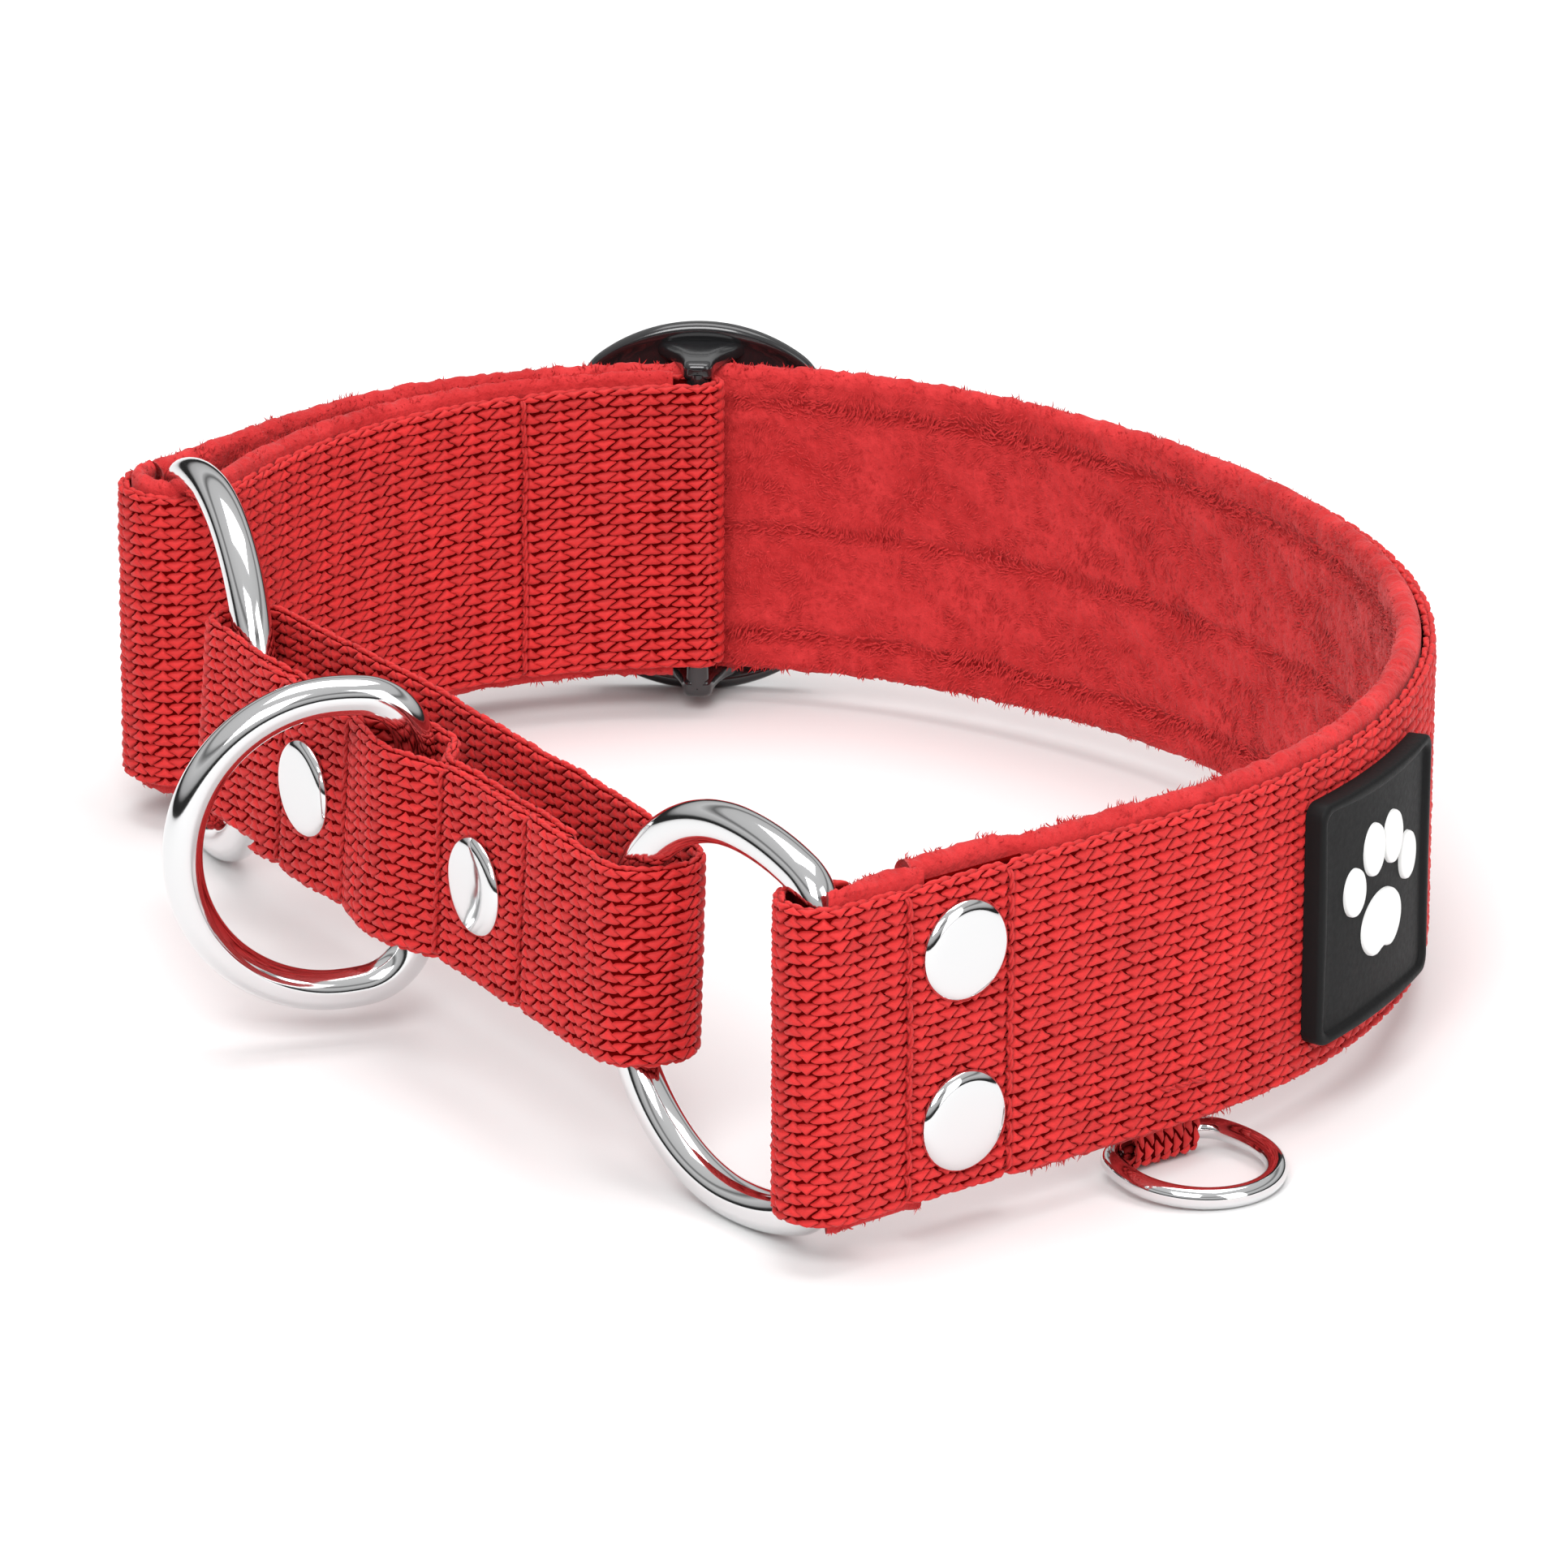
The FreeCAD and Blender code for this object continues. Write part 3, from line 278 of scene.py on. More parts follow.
def end_caps(points, first_turned):
    """Quads that close both ends of a tube of rings, and the middle point of each end."""
    rows, columns = points.shape[:2]
    caps = []
    for number, row in enumerate((0, rows - 1)):
        ring = np.arange(columns) + row * columns
        if columns % 2:
            ring = np.append(ring, ring[-1])
        fan = np.stack([ring[::2], ring[1::2], np.roll(ring, -2)[::2],
                        np.full(len(ring) // 2, rows * columns + number)], axis=-1)
        caps.append(fan if bool(number) == first_turned else fan[:, ::-1])
    return np.concatenate(caps), np.array([points[0].mean(axis=0), points[-1].mean(axis=0)])


def mesh_piece(name, material, verts, faces, uv=None, fields=None):
    """A smooth mesh object from points in millimetres and quads."""
    verts = np.asarray(verts, float).reshape(-1, 3)
    faces = np.asarray(faces, np.int32).reshape(-1, 4)
    mesh = bpy.data.meshes.new(name)
    mesh.vertices.add(len(verts))
    mesh.vertices.foreach_set("co", (verts * MM).astype(np.float32).ravel())
    mesh.loops.add(faces.size)
    mesh.loops.foreach_set("vertex_index", faces.ravel())
    mesh.polygons.add(len(faces))
    mesh.polygons.foreach_set("loop_start", np.arange(len(faces), dtype=np.int32) * 4)
    mesh.polygons.foreach_set("use_smooth", np.ones(len(faces), bool))
    mesh.update(calc_edges=True)
    if uv is not None:
        layer = mesh.uv_layers.new(name="UVMap")
        layer.data.foreach_set("uv", np.asarray(uv, np.float32).reshape(-1, 2)[faces.ravel()].ravel())
    for field, values in (fields or {}).items():
        attribute = mesh.attributes.new(field, "FLOAT", "POINT")
        attribute.data.foreach_set("value", np.asarray(values, np.float32).ravel())
    mesh.materials.append(material)
    piece = bpy.data.objects.new(name, mesh)
    bpy.context.scene.collection.objects.link(piece)
    return piece


def dress(piece, slot, hold, *nodes):
    """Hides the CAD nodes that a piece stands for, and parents the piece to the body that moves it, or
    calls hold on it where hold is a function. slot, the finish, is not used.
    """
    if nodes:
        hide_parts(*nodes)
    if callable(hold):
        hold(piece)
    else:
        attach(piece, hold)


def merge(parts):
    """Joins (verts, faces, uv, fields) tuples into one."""
    verts, faces, uvs, fields, base = [], [], [], {}, 0
    for part_verts, part_faces, part_uv, part_fields in parts:
        part_verts = np.asarray(part_verts, float).reshape(-1, 3)
        verts.append(part_verts)
        faces.append(np.asarray(part_faces).reshape(-1, 4) + base)
        uvs.append(np.asarray(part_uv, float).reshape(-1, 2))
        for key, value in part_fields.items():
            fields.setdefault(key, []).append(np.asarray(value, float).ravel())
        base += len(part_verts)
    return (np.concatenate(verts), np.concatenate(faces), np.concatenate(uvs),
            {key: np.concatenate(value) for key, value in fields.items()})


# ------------------------------------------------------------------ materials
def node_material(name):
    material = bpy.data.materials.new(name)
    material.use_nodes = True
    nodes = material.node_tree.nodes
    return material, nodes, material.node_tree.links, nodes["Principled BSDF"]


def add(nodes, kind, **settings):
    node = nodes.new(kind)
    for key, value in settings.items():
        if hasattr(node, key):
            setattr(node, key, value)
        else:
            node.inputs[key.replace("_", " ")].default_value = value
    return node


def ramp(nodes, stops):
    node = nodes.new("ShaderNodeValToRGB")
    elements = node.color_ramp.elements
    while len(elements) < len(stops):
        elements.new(0.5)
    for element, (place, colour) in zip(elements, stops):
        element.position = place
        element.color = (*colour, 1.0)
    return node


def noise(nodes, links, source, **settings):
    """A noise texture over the coordinates that source gives."""
    texture = add(nodes, "ShaderNodeTexNoise", **settings)
    links.new(source, texture.inputs["Vector"])
    return texture.outputs["Fac"]


def combine(nodes, links, operation, *values):
    """A math node over numbers and linked sockets."""
    node = add(nodes, "ShaderNodeMath", operation=operation)
    for socket, value in zip(node.inputs, values):
        if isinstance(value, float):
            socket.default_value = value
        else:
            links.new(value, socket)
    return node.outputs[0]


def relief(nodes, links, shader, height, strength, distance=0.0002):
    bump = add(nodes, "ShaderNodeBump", Strength=strength, Distance=distance)
    links.new(height, bump.inputs["Height"])
    links.new(bump.outputs["Normal"], shader.inputs["Normal"])


def tint(nodes, links, shader, fac, stops):
    colours = ramp(nodes, stops)
    links.new(fac, colours.inputs["Fac"])
    links.new(colours.outputs["Color"], shader.inputs["Base Color"])


def constants(shader, **settings):
    """Sets the shader's own sockets."""
    for key, value in settings.items():
        shader.inputs[key.replace("_", " ")].default_value = value


def yarn_material(name, dark, light, rough=0.62, fibre=(26.0, 420.0), strength=0.35, gloss=0.35):
    """Twisted synthetic yarn: a tone along each float that carries painted light and shade, fine fibre
    lines and a soft sheen.
    """
    material, nodes, links, shader = node_material(name)
    tone = add(nodes, "ShaderNodeAttribute", attribute_name="tone").outputs["Fac"]
    stretch = add(nodes, "ShaderNodeMapping")
    stretch.inputs["Scale"].default_value = (*fibre, 1.0)
    links.new(add(nodes, "ShaderNodeUVMap", uv_map="UVMap").outputs["UV"], stretch.inputs["Vector"])
    fibres = noise(nodes, links, stretch.outputs["Vector"], Scale=1.0, Detail=3.0, Roughness=0.6)
    coords = add(nodes, "ShaderNodeTexCoord").outputs["Object"]
    patch = noise(nodes, links, coords, Scale=55.0, Detail=2.0)
    mixed = combine(nodes, links, "MULTIPLY_ADD", fibres, 0.35, tone)
    mixed = combine(nodes, links, "MULTIPLY_ADD", patch, 0.22, mixed)
    middle = tuple((a + 2 * b) / 3 for a, b in zip(dark, light))
    # the tone's painted light and shade goes into the base colour here
    tint(nodes, links, shader, combine(nodes, links, "MULTIPLY", mixed, 0.72),
         [(0.12, dark), (0.72, middle), (1.0, light)])
    relief(nodes, links, shader, fibres, strength)
    constants(shader, Roughness=rough, Sheen_Weight=0.3 * gloss, Sheen_Roughness=0.5,
              Sheen_Tint=(1.0, 0.5, 0.5, 1.0), Specular_IOR_Level=gloss)
    return material


def plush_material(name, dark, light):
    """Short pile: soft patches of painted sheen where the nap lies differently, fine streaks and a soft
    sheen.
    """
    material, nodes, links, shader = node_material(name)
    tone = add(nodes, "ShaderNodeAttribute", attribute_name="tone").outputs["Fac"]
    coords = add(nodes, "ShaderNodeTexCoord").outputs["Object"]
    fine = noise(nodes, links, coords, Scale=900.0, Detail=3.0, Roughness=0.65)
    mixed = combine(nodes, links, "MULTIPLY_ADD", fine, 0.8, tone)
    tint(nodes, links, shader, combine(nodes, links, "MULTIPLY", mixed, 0.68), [(0.1, dark), (0.95, light)])
    relief(nodes, links, shader, fine, 0.8, 0.0005)
    constants(shader, Roughness=0.9, Sheen_Weight=0.25, Sheen_Roughness=0.45,
              Sheen_Tint=(1.0, 0.4, 0.4, 1.0), Specular_IOR_Level=0.15)
    return material


def grained(nodes, links, shader, scale, detail, rough_from, rough_to, strength):
    """One noise that varies a surface's roughness and its height."""
    coords = add(nodes, "ShaderNodeTexCoord").outputs["Object"]
    texture = noise(nodes, links, coords, Scale=scale, Detail=detail, Roughness=0.6)
    span = add(nodes, "ShaderNodeMapRange", To_Min=rough_from, To_Max=rough_to)
    links.new(texture, span.inputs["Value"])
    links.new(span.outputs["Result"], shader.inputs["Roughness"])
    relief(nodes, links, shader, texture, strength)


def metal_material(name, colour, rough, scratch):
    material, nodes, links, shader = node_material(name)
    grained(nodes, links, shader, 120.0, 4.0, rough * 0.6, rough * 1.6, scratch)
    constants(shader, Base_Color=(*colour, 1.0), Metallic=1.0)
    return material


def moulded_material(name, colour, rough, grain, coat=0.0, gloss=0.5):
    material, nodes, links, shader = node_material(name)
    grained(nodes, links, shader, grain, 3.0, rough * 0.8, rough * 1.2, 0.12)
    constants(shader, Base_Color=(*colour, 1.0), Specular_IOR_Level=gloss, Coat_Weight=coat,
              Coat_Roughness=0.05)
    return material


YARN = yarn_material("webbing_yarn", (0.14, 0.001, 0.001), (0.74, 0.021, 0.021))
# painted shade: the core under the floats is a far darker red than the yarn, standing for the shade in the
# gaps between the bells
YARN_CORE_PAINTED_SHADE = yarn_material("webbing_core", (0.04, 0.0004, 0.0004), (0.22, 0.002, 0.002), rough=1.0,
                          gloss=0.0)
THREAD = yarn_material("seam_thread", (0.12, 0.001, 0.001), (0.70, 0.02, 0.02), rough=0.5,
                       fibre=(8.0, 90.0), strength=0.5)
PLUSH = plush_material("plush_pile", (0.30, 0.006, 0.007), (0.66, 0.045, 0.047))
CHROME = metal_material("chrome_plate", (0.73, 0.73, 0.735), 0.07, 0.04)
STEEL = metal_material("rivet_steel", (0.62, 0.62, 0.63), 0.28, 0.2)
GLOSS_BLACK = moulded_material("slider_gloss", (0.012, 0.012, 0.013), 0.17, 160.0, coat=0.5)
RUBBER_BLACK = moulded_material("badge_rubber", (0.008, 0.008, 0.0083), 0.55, 1400.0, gloss=0.12)
RUBBER_WHITE = moulded_material("paw_rubber", (0.86, 0.86, 0.85), 0.5, 1200.0)


# ------------------------------------------------------------------ woven straps
class Section:
    """Cross-section of a strap: q runs round it, from the outer face's middle upwards."""

    def __init__(self, width, thick):
        self.flat = width - thick
        self.round = thick / 2
        self.around = 2 * self.flat + 2 * math.pi * self.round

    def at(self, q):
        """Offset from the outer face, height from the middle, and the outward normal in (n, z)."""
        q = (np.asarray(q, float) + self.around / 2) % self.around - self.around / 2
        half, r = self.flat / 2, self.round
        arc = math.pi * r
        sign = np.where(q >= 0, 1.0, -1.0)
        m = np.abs(q)
        angle = np.clip((m - half) / r, 0, math.pi)
        beyond = np.maximum(m - half - arc, 0)
        n = r - r * np.cos(angle)
        z = np.minimum(m, half) + r * np.sin(angle) - beyond
        return n, sign * z, -np.cos(angle), sign * np.sin(angle)


def place(route, section, s, q, h, centre_z=MID_Z, warp=None):
    """World points at height h above the strap's nominal surface."""
    n, z, nn, nz = section.at(q)
    xy = route.at(s, n + h * nn)
    z = z + h * nz + np.zeros(np.shape(s))
    points = np.concatenate([xy, (centre_z + z)[..., None]], axis=-1)
    return warp(points) if warp else points


COLUMN, ROW = 2.04, 1.50         # pitch of the bells along and across a strap
SEAM_WANDER = 0.1                # how far stitches stray from a straight seam
BELL_LOW = np.array([-0.44, -0.69, -0.74, -0.755, -0.76, -0.755, -0.74, -0.69, -0.44])
BELL_TOP = np.array([-0.24, -0.03, 0.21, 0.50, 0.90, 0.50, 0.21, -0.03, -0.24])


def floats(route, section, s0, s1, q_from, q_to, centre_z, seed, rows=None, warp=None, dips=()):
    """The woven face: in each column a stack of bells of yarn, upright and inverted by turns."""
    pitch = section.around / rows if rows else ROW
    first, last = math.ceil(s0 / COLUMN), math.floor((s1 - 1e-6) / COLUMN)
    columns = np.arange(first, last + 1)
    low, high = math.ceil(q_from / pitch), math.floor(q_to / pitch)
    k, j = np.meshgrid(columns, np.arange(low, high + 1), indexing="ij")
    k, j = k.ravel(), j.ravel()
    rng = np.random.default_rng(seed)
    jitter = rng.normal(0, 1, (len(k), 6))
    flip = np.where(k % 2 == 0, 1.0, -1.0)[:, None, None]
    s_mid = k * COLUMN + 0.05 * jitter[:, 0]
    q_mid = j * pitch + np.where(k % 2 == 0, 0.0, 0.02) + 0.04 * jitter[:, 1]
    a = np.array([-1.0, -0.74, -0.48, -0.24, 0.0, 0.24, 0.48, 0.74, 1.0])
    b = np.array([-1.0, -0.6, 0.0, 0.6, 1.0])
    half_length = 1.44
    A, B = np.meshgrid(a, b, indexing="ij")
    middle, half = (BELL_TOP + BELL_LOW) / 2, (BELL_TOP - BELL_LOW) / 2
    outline = middle[:, None] + half[:, None] * B
    s = s_mid[:, None, None] + A[None] * half_length * (1 + 0.05 * jitter[:, 4, None, None])
    tilt = np.where(flip > 0, 0.05, 0.16) + 0.03 * jitter[:, 3, None, None]
    q = (q_mid[:, None, None] + flip * outline[None] * (pitch / ROW) * (1 + 0.04 * jitter[:, 2, None, None])
         + tilt * A[None])
    crown = np.sqrt(np.clip(1 - B ** 2, 0, 1))[None] * (1 - 0.50 * A[None] ** 2)
    crown = crown * (1 - 0.22 * np.clip(outline, 0, 1)[None] ** 2)
    h = -0.56 + (0.62 + 0.04 * jitter[:, 5, None, None]) * crown
    for place_s, half_width, depth in dips:
        h = h - depth * np.exp(-((s - place_s) / half_width) ** 2)
    points = place(route, section, s, q, h, centre_z, warp)
    faces = grid_faces(len(a), len(b))[None] + (np.arange(len(k)) * A.size)[:, None, None]
    turned = np.where(flip > 0, faces, faces[:, :, ::-1]).reshape(-1, 4)
    uv = np.stack([np.broadcast_to(A[None] * half_length * 0.02 + jitter[:, 0, None, None], s.shape),
                   np.broadcast_to(outline[None] * 0.02 + jitter[:, 1, None, None], s.shape)], axis=-1)
    # painted light and shade: each bell's tone is lighter at its crown and darker towards its edges, where
    # it dives between its neighbours; only the random part is real tone
    tone = 0.34 + 0.5 * crown + 0.06 * rng.normal(0, 1, (len(k), 1, 1))
    return points.reshape(-1, 3), turned[:, ::-1], uv.reshape(-1, 2), {"tone": tone}


def core(route, section, s0, s1, step, centre_z, inset=0.52, warp=None, around=36, dips=()):
    """The closed strap under the floats, a little thinner than the real one."""
    count = max(2, int(round((s1 - s0) / step)) + 1)
    s = np.linspace(s0, s1, count)
    flat, arc = section.flat / 2, math.pi * section.round
    side = np.linspace(-flat, flat, around // 3)
    bend = np.linspace(flat, flat + arc, around // 6 + 2)[1:-1]
    half = np.concatenate([side, bend])
    q = np.concatenate([half, half + flat * 2 + arc])
    S, Q = np.meshgrid(s, q, indexing="ij")
    H = np.full(S.shape, -inset)
    for place_s, half_width, depth in dips:
        H = H - 0.7 * depth * np.exp(-((S - place_s) / half_width) ** 2)
    points = place(route, section, S, Q, H, centre_z, warp)
    caps, middles = end_caps(points, False)
    faces = np.concatenate([grid_faces(count, len(q), wrap=True)[:, ::-1], caps])
    verts = np.concatenate([points.reshape(-1, 3), middles])
    uv = np.zeros((len(verts), 2))
    uv[: S.size, 0], uv[: S.size, 1] = S.ravel() * 0.02, Q.ravel() * 0.02
    return verts, faces, uv, {"tone": np.full(len(verts), 0.3)}


# ------------------------------------------------------------------ plush lining
LINING_STEP = 0.62               # grid step of the main lining
FIBRE_HALF = 0.11                # half width of a fibre of pile
LINING_SEAMS = [(16.3, 0.7), (-1.0, 0.45), (-16.3, 0.7)]      # height and depth of the sewn lines


def lining_grid(s, near, thick, seed, warp=None, seams=()):
    """Closed plush ribbon: rounded edges, lumpy pile on the free face and grooves at the seams."""
    s = np.asarray(s, float)
    near, thick = np.broadcast_to(near, s.shape), np.broadcast_to(thick, s.shape)
    r = np.minimum(thick.min() / 2, 1.5)
    flat = LINING_W / 2 - r
    t_face = np.linspace(-flat, flat, int(2 * flat / LINING_STEP))
    t_arc = np.linspace(0, math.pi, 9)[1:-1]
    t_back = np.linspace(flat, -flat, 5)
    z = np.concatenate([t_face, flat + r * np.sin(t_arc), t_back, -flat - r * np.sin(t_arc[::-1])])
    share = np.concatenate([np.ones(len(t_face)), 0.5 + 0.5 * np.cos(t_arc), np.zeros(len(t_back)),
                            0.5 + 0.5 * np.cos(t_arc[::-1])])
    S, Z = np.meshgrid(s, z, indexing="ij")
    share = np.broadcast_to(share, S.shape)
    lump = fbm(S / 3.4, Z / 2.6, seed) - 0.5
    fine = fbm(S / 0.9, Z / 0.8, seed + 20) - 0.5
    groove = np.zeros(S.shape)
    for seam_z, depth in seams:
        drift = seam_z + 0.5 * (value_noise(S / 25.0, S * 0 + seam_z, seed + 31) - 0.5)
        groove += depth * np.exp(-((Z - drift) / 0.9) ** 2)
    rise = (0.55 * lump + 0.35 * fine - groove) * share
    edge = (1 - np.abs(2 * share - 1)) * (0.9 * fbm(S / 1.1, Z / 3.0, seed + 40) - 0.25)
    n = near[:, None] + thick[:, None] * share + rise
    zz = Z + np.sign(Z) * edge * (np.abs(Z) > flat - 0.01)
    points = np.concatenate([STRAP.at(S, n), (MID_Z + zz)[..., None]], axis=-1)
    if warp:
        points = warp(points)
    # painted light in the tone: nap patches painted lighter and darker stand in for the sheen that the
    # nap's direction gives, raised lumps are painted lighter and the seam grooves painted shade; the
    # streaks are random tone
    nap = fbm(S / 9.0, Z / 4.5, seed + 60)
    streak = fbm(S / 1.0, Z / 5.0, seed + 70)
    tone = 0.30 + 0.75 * (nap - 0.5) + 0.25 * (streak - 0.5) + 0.25 * lump - 0.35 * groove + 0.12
    caps, middles = end_caps(points, True)
    verts = np.concatenate([points.reshape(-1, 3), middles])
    faces = np.concatenate([grid_faces(len(s), len(z), wrap=True), caps])
    tone = np.concatenate([tone.ravel(), [0.4, 0.4]])
    return verts, faces, np.zeros((len(verts), 2)), {"tone": tone}


def tufts(s0, s1, near_of, thick_of, seed, per_mm2, length, warp=None, edge_per_mm=7.0):
    """Single fibres of pile lying on the free face, and fuzz standing along both edges."""
    rng = np.random.default_rng(seed)
    half = LINING_W / 2
    count = int((s1 - s0) * (LINING_W - 2) * per_mm2)
    s = rng.uniform(s0, s1, count)
    z = rng.uniform(-half + 1.0, half - 1.0, count)
    lean = 2.2 * (fbm(s / 9.0, z / 4.5, seed + 60) - 0.5) * math.pi + 0.4 * rng.normal(0, 1, count)
    run = length * rng.uniform(0.6, 1.2, count)
    ds, dz = np.cos(lean) * run, np.sin(lean) * run - 0.25
    n0 = near_of(s) + thick_of(s) - 0.15
    rise = rng.uniform(0.12, 0.42, count)
    # painted sheen: fibres are lighter or darker with the nap field that sets their lean; only the random
    # part is real tone
    tone = 0.35 + 0.55 * (fbm(s / 9.0, z / 4.5, seed + 60) - 0.3) + 0.12 * rng.normal(0, 1, count)
    parts = [(s, z, n0, ds, dz, rise, tone)]
    edge = int((s1 - s0) * edge_per_mm)
    for sign in (1.0, -1.0):
        es = rng.uniform(s0, s1, edge)
        share = rng.uniform(0.05, 1.0, edge)
        en = near_of(es) + thick_of(es) * share
        ez = sign * (half - 0.35 - 0.9 * (share - 0.5) ** 2 * 2)
        clump = value_noise(es / 1.3, es * 0, seed + 90)
        tall = (0.35 + 1.1 * clump ** 2) * rng.uniform(0.5, 1.1, edge)
        parts.append((es, ez, en, rng.normal(0, 0.45, edge), sign * tall,
                      rng.normal(0.1, 0.3, edge), 0.45 + 0.15 * rng.normal(0, 1, edge)))
    s, z, n, ds, dz, rise, tone = [np.concatenate(column) for column in zip(*parts)]
    s, z, n, ds, dz, rise = [column[:, None, None] for column in (s, z, n, ds, dz, rise)]
    norm = np.hypot(ds, dz) + 1e-6
    t = np.array([0.0, 0.55, 1.0])[None, :, None]
    flank = FIBRE_HALF * np.array([1.0, 0.75, 0.12])[None, :, None] * np.array([-1.0, 1.0])[None, None]
    S = s + ds * t - dz / norm * flank
    Z = z + dz * t + ds / norm * flank
    N = n + rise * np.array([0.0, 1.0, 0.55])[None, :, None] + np.zeros(S.shape)
    points = np.concatenate([STRAP.at(np.clip(S, s0, s1), N), (MID_Z + Z)[..., None]], axis=-1)
    if warp:
        points = warp(points)
    faces = (grid_faces(3, 2)[None] + (np.arange(len(s)) * 6)[:, None, None]).reshape(-1, 4)
    # painted shade: each fibre is darker at its root and lighter towards its tip
    tone = np.clip(tone, 0.05, 0.9)[:, None, None] + 0.18 * t + np.zeros(S.shape)
    return points.reshape(-1, 3), faces, np.zeros((points.size // 3, 2)), {"tone": tone}


# ------------------------------------------------------------------ hardware
def ring_line(height, depth, wire, corner, step=0.5):
    """Closed centre line of a D-ring in (out, up), with its bar on out = 0."""
    half, reach, bend = (height - wire) / 2, depth - wire, corner
    flat = reach - half
    bow = 1.45 * half
    bar = math.sqrt((bow - bend) ** 2 - (flat - bend) ** 2) - (bow - half)
    lean = math.degrees(math.asin((flat - bend) / (bow - bend)))
    pieces = [((0, -bar), (0, bar)), ((bend, bar), bend, 180, 90 + lean),
              ((flat, half - bow), bow, 90 + lean, 90), ((flat, 0), half, 90, -90),
              ((flat, bow - half), bow, -90, -90 - lean), ((bend, -bar), bend, 270 - lean, 180)]
    route = Route(pieces)
    count = int(route.length / step)
    return route.at(np.linspace(0, route.length, count, endpoint=False), 0.0)


def tube(points, side, radius, sides):
    """Closed tube round a closed line that lies in the plane square to side."""
    points = np.asarray(points, float)
    along = np.roll(points, -1, axis=0) - np.roll(points, 1, axis=0)
    along /= np.linalg.norm(along, axis=1, keepdims=True)
    side = np.asarray(side, float) / np.linalg.norm(side)
    out = np.cross(along, side)
    angle = np.linspace(0, 2 * math.pi, sides, endpoint=False)
    ring = points[:, None] + radius * (np.cos(angle)[None, :, None] * out[:, None]
                                       + np.sin(angle)[None, :, None] * side)
    rows = len(points)
    i, j = np.meshgrid(np.arange(rows), np.arange(sides), indexing="ij")
    a, b = (i + 1) % rows, (j + 1) % sides
    faces = np.stack([i * sides + j, i * sides + b, a * sides + b, a * sides + j], -1).reshape(-1, 4)
    return ring.reshape(-1, 3), faces


def d_ring(which, base, crown, up, sizes):
    """A polished D-ring; crown is the direction from its bar to its crown."""
    line = ring_line(*sizes)
    crown, up = np.asarray(crown, float), np.asarray(up, float)
    points = np.asarray(base, float) + line[:, :1] * crown + line[:, 1:] * up
    verts, faces = tube(points, np.cross(crown, up), sizes[2] / 2, 28)
    piece = mesh_piece(which + "_d_ring", CHROME, verts, faces)
    dress(piece, "chrome", which + "_ring_body", which + "_ring")


def lofted(rows):
    """A part with no weave whose surface joins closed rows of points."""
    rows = np.array(rows)
    faces = grid_faces(len(rows), rows.shape[1], wrap=True)
    return rows.reshape(-1, 3), faces, np.zeros((rows.size // 3, 2)), {}


def lathe(profile, origin, axis, up=(0.0, 0.0, 1.0), segments=72):
    """Surface of revolution of (radius, height) points about axis."""
    axis = np.asarray(axis, float) / np.linalg.norm(axis)
    angle = np.linspace(0, 2 * math.pi, segments, endpoint=False)
    ring = np.cos(angle)[:, None] * np.cross(up, axis) + np.sin(angle)[:, None] * np.array(up)
    return lofted([np.asarray(origin, float) + radius * ring + height * axis for radius, height in profile])


CAP_PROFILE = [(0.001, 1.30), (2.6, 1.28), (4.3, 1.22), (5.1, 1.12), (5.55, 0.98), (5.95, 0.72),
               (6.2, 0.42), (6.3, 0.15), (6.28, -0.05), (5.9, -0.1)]


def rivet_caps(which, body, places):
    parts = [lathe(CAP_PROFILE, origin, axis) for origin, axis in places]
    piece = mesh_piece(which + "_rivets", CHROME, *merge(parts)[:2])
    dress(piece, "chrome", body, which + "_rivet_caps")


# ------------------------------------------------------------------ stitches
def stitch_row(points, normals, thread=0.23, lift=0.1):
    """Stitches from each point to the next: two twisted strands that dive into the strap at both ends."""
    parts = []
    for start, end, normal in zip(points[:-1], points[1:], normals):
        along = end - start
        length = np.linalg.norm(along)
        along = along / length
        side = np.cross(normal, along)
        t = np.linspace(0, 1, 13)
        for strand in range(2):
            phase = 2 * math.pi * (strand / 2 + t * 1.1)
            off = 0.5 * thread * 1.25
            rise = lift + thread * 1.1 - 1.15 * np.abs(2 * t - 1) ** 6
            middle = (start + np.outer(t, along) * length + np.outer(rise + off * np.sin(phase), normal)
                      + np.outer(off * 1.3 * np.cos(phase), side))
            way = np.gradient(middle, axis=0)
            way /= np.linalg.norm(way, axis=1, keepdims=True)
            out = np.cross(way, side)
            out /= np.linalg.norm(out, axis=1, keepdims=True)
            flank = np.cross(out, way)
            angle = np.linspace(0, 2 * math.pi, 6, endpoint=False)
            ring = middle[:, None] + thread * (np.cos(angle)[None, :, None] * out[:, None]
                                               + np.sin(angle)[None, :, None] * flank[:, None])
            uv = np.stack(np.meshgrid(t * 0.4, angle / 6.28 * 0.2, indexing="ij"), -1)
            # painted light and shade: each strand is lighter on its side away from the strap, darker on the
            # side facing it, and darker still at both ends where it dives in
            tone = 0.55 + 0.25 * np.cos(angle)[None] * np.ones((len(t), 1)) - 0.3 * np.abs(
                2 * t - 1)[:, None] ** 4
            parts.append((ring.reshape(-1, 3), grid_faces(len(t), 6, wrap=True), uv, {"tone": tone}))
    return parts


def across(route, s, centre_z, width, pitch, seed, warp=None):
    """Seam points straight across a strap at arc length s, on its outer face."""
    rng = np.random.default_rng(seed)
    count = int(width / pitch)
    z = np.linspace(-width / 2, width / 2, count + 1)
    xy = route.at(s + SEAM_WANDER * rng.normal(0, 1, count + 1), np.zeros(count + 1))
    points = np.concatenate([xy, (centre_z + z)[:, None]], axis=1)
    if warp:
        points = warp(points)
    way = route.direction(np.array([s]))[0]
    normal = np.array([way[1], -way[0], 0.0])
    return points, np.broadcast_to(normal, (count, 3))


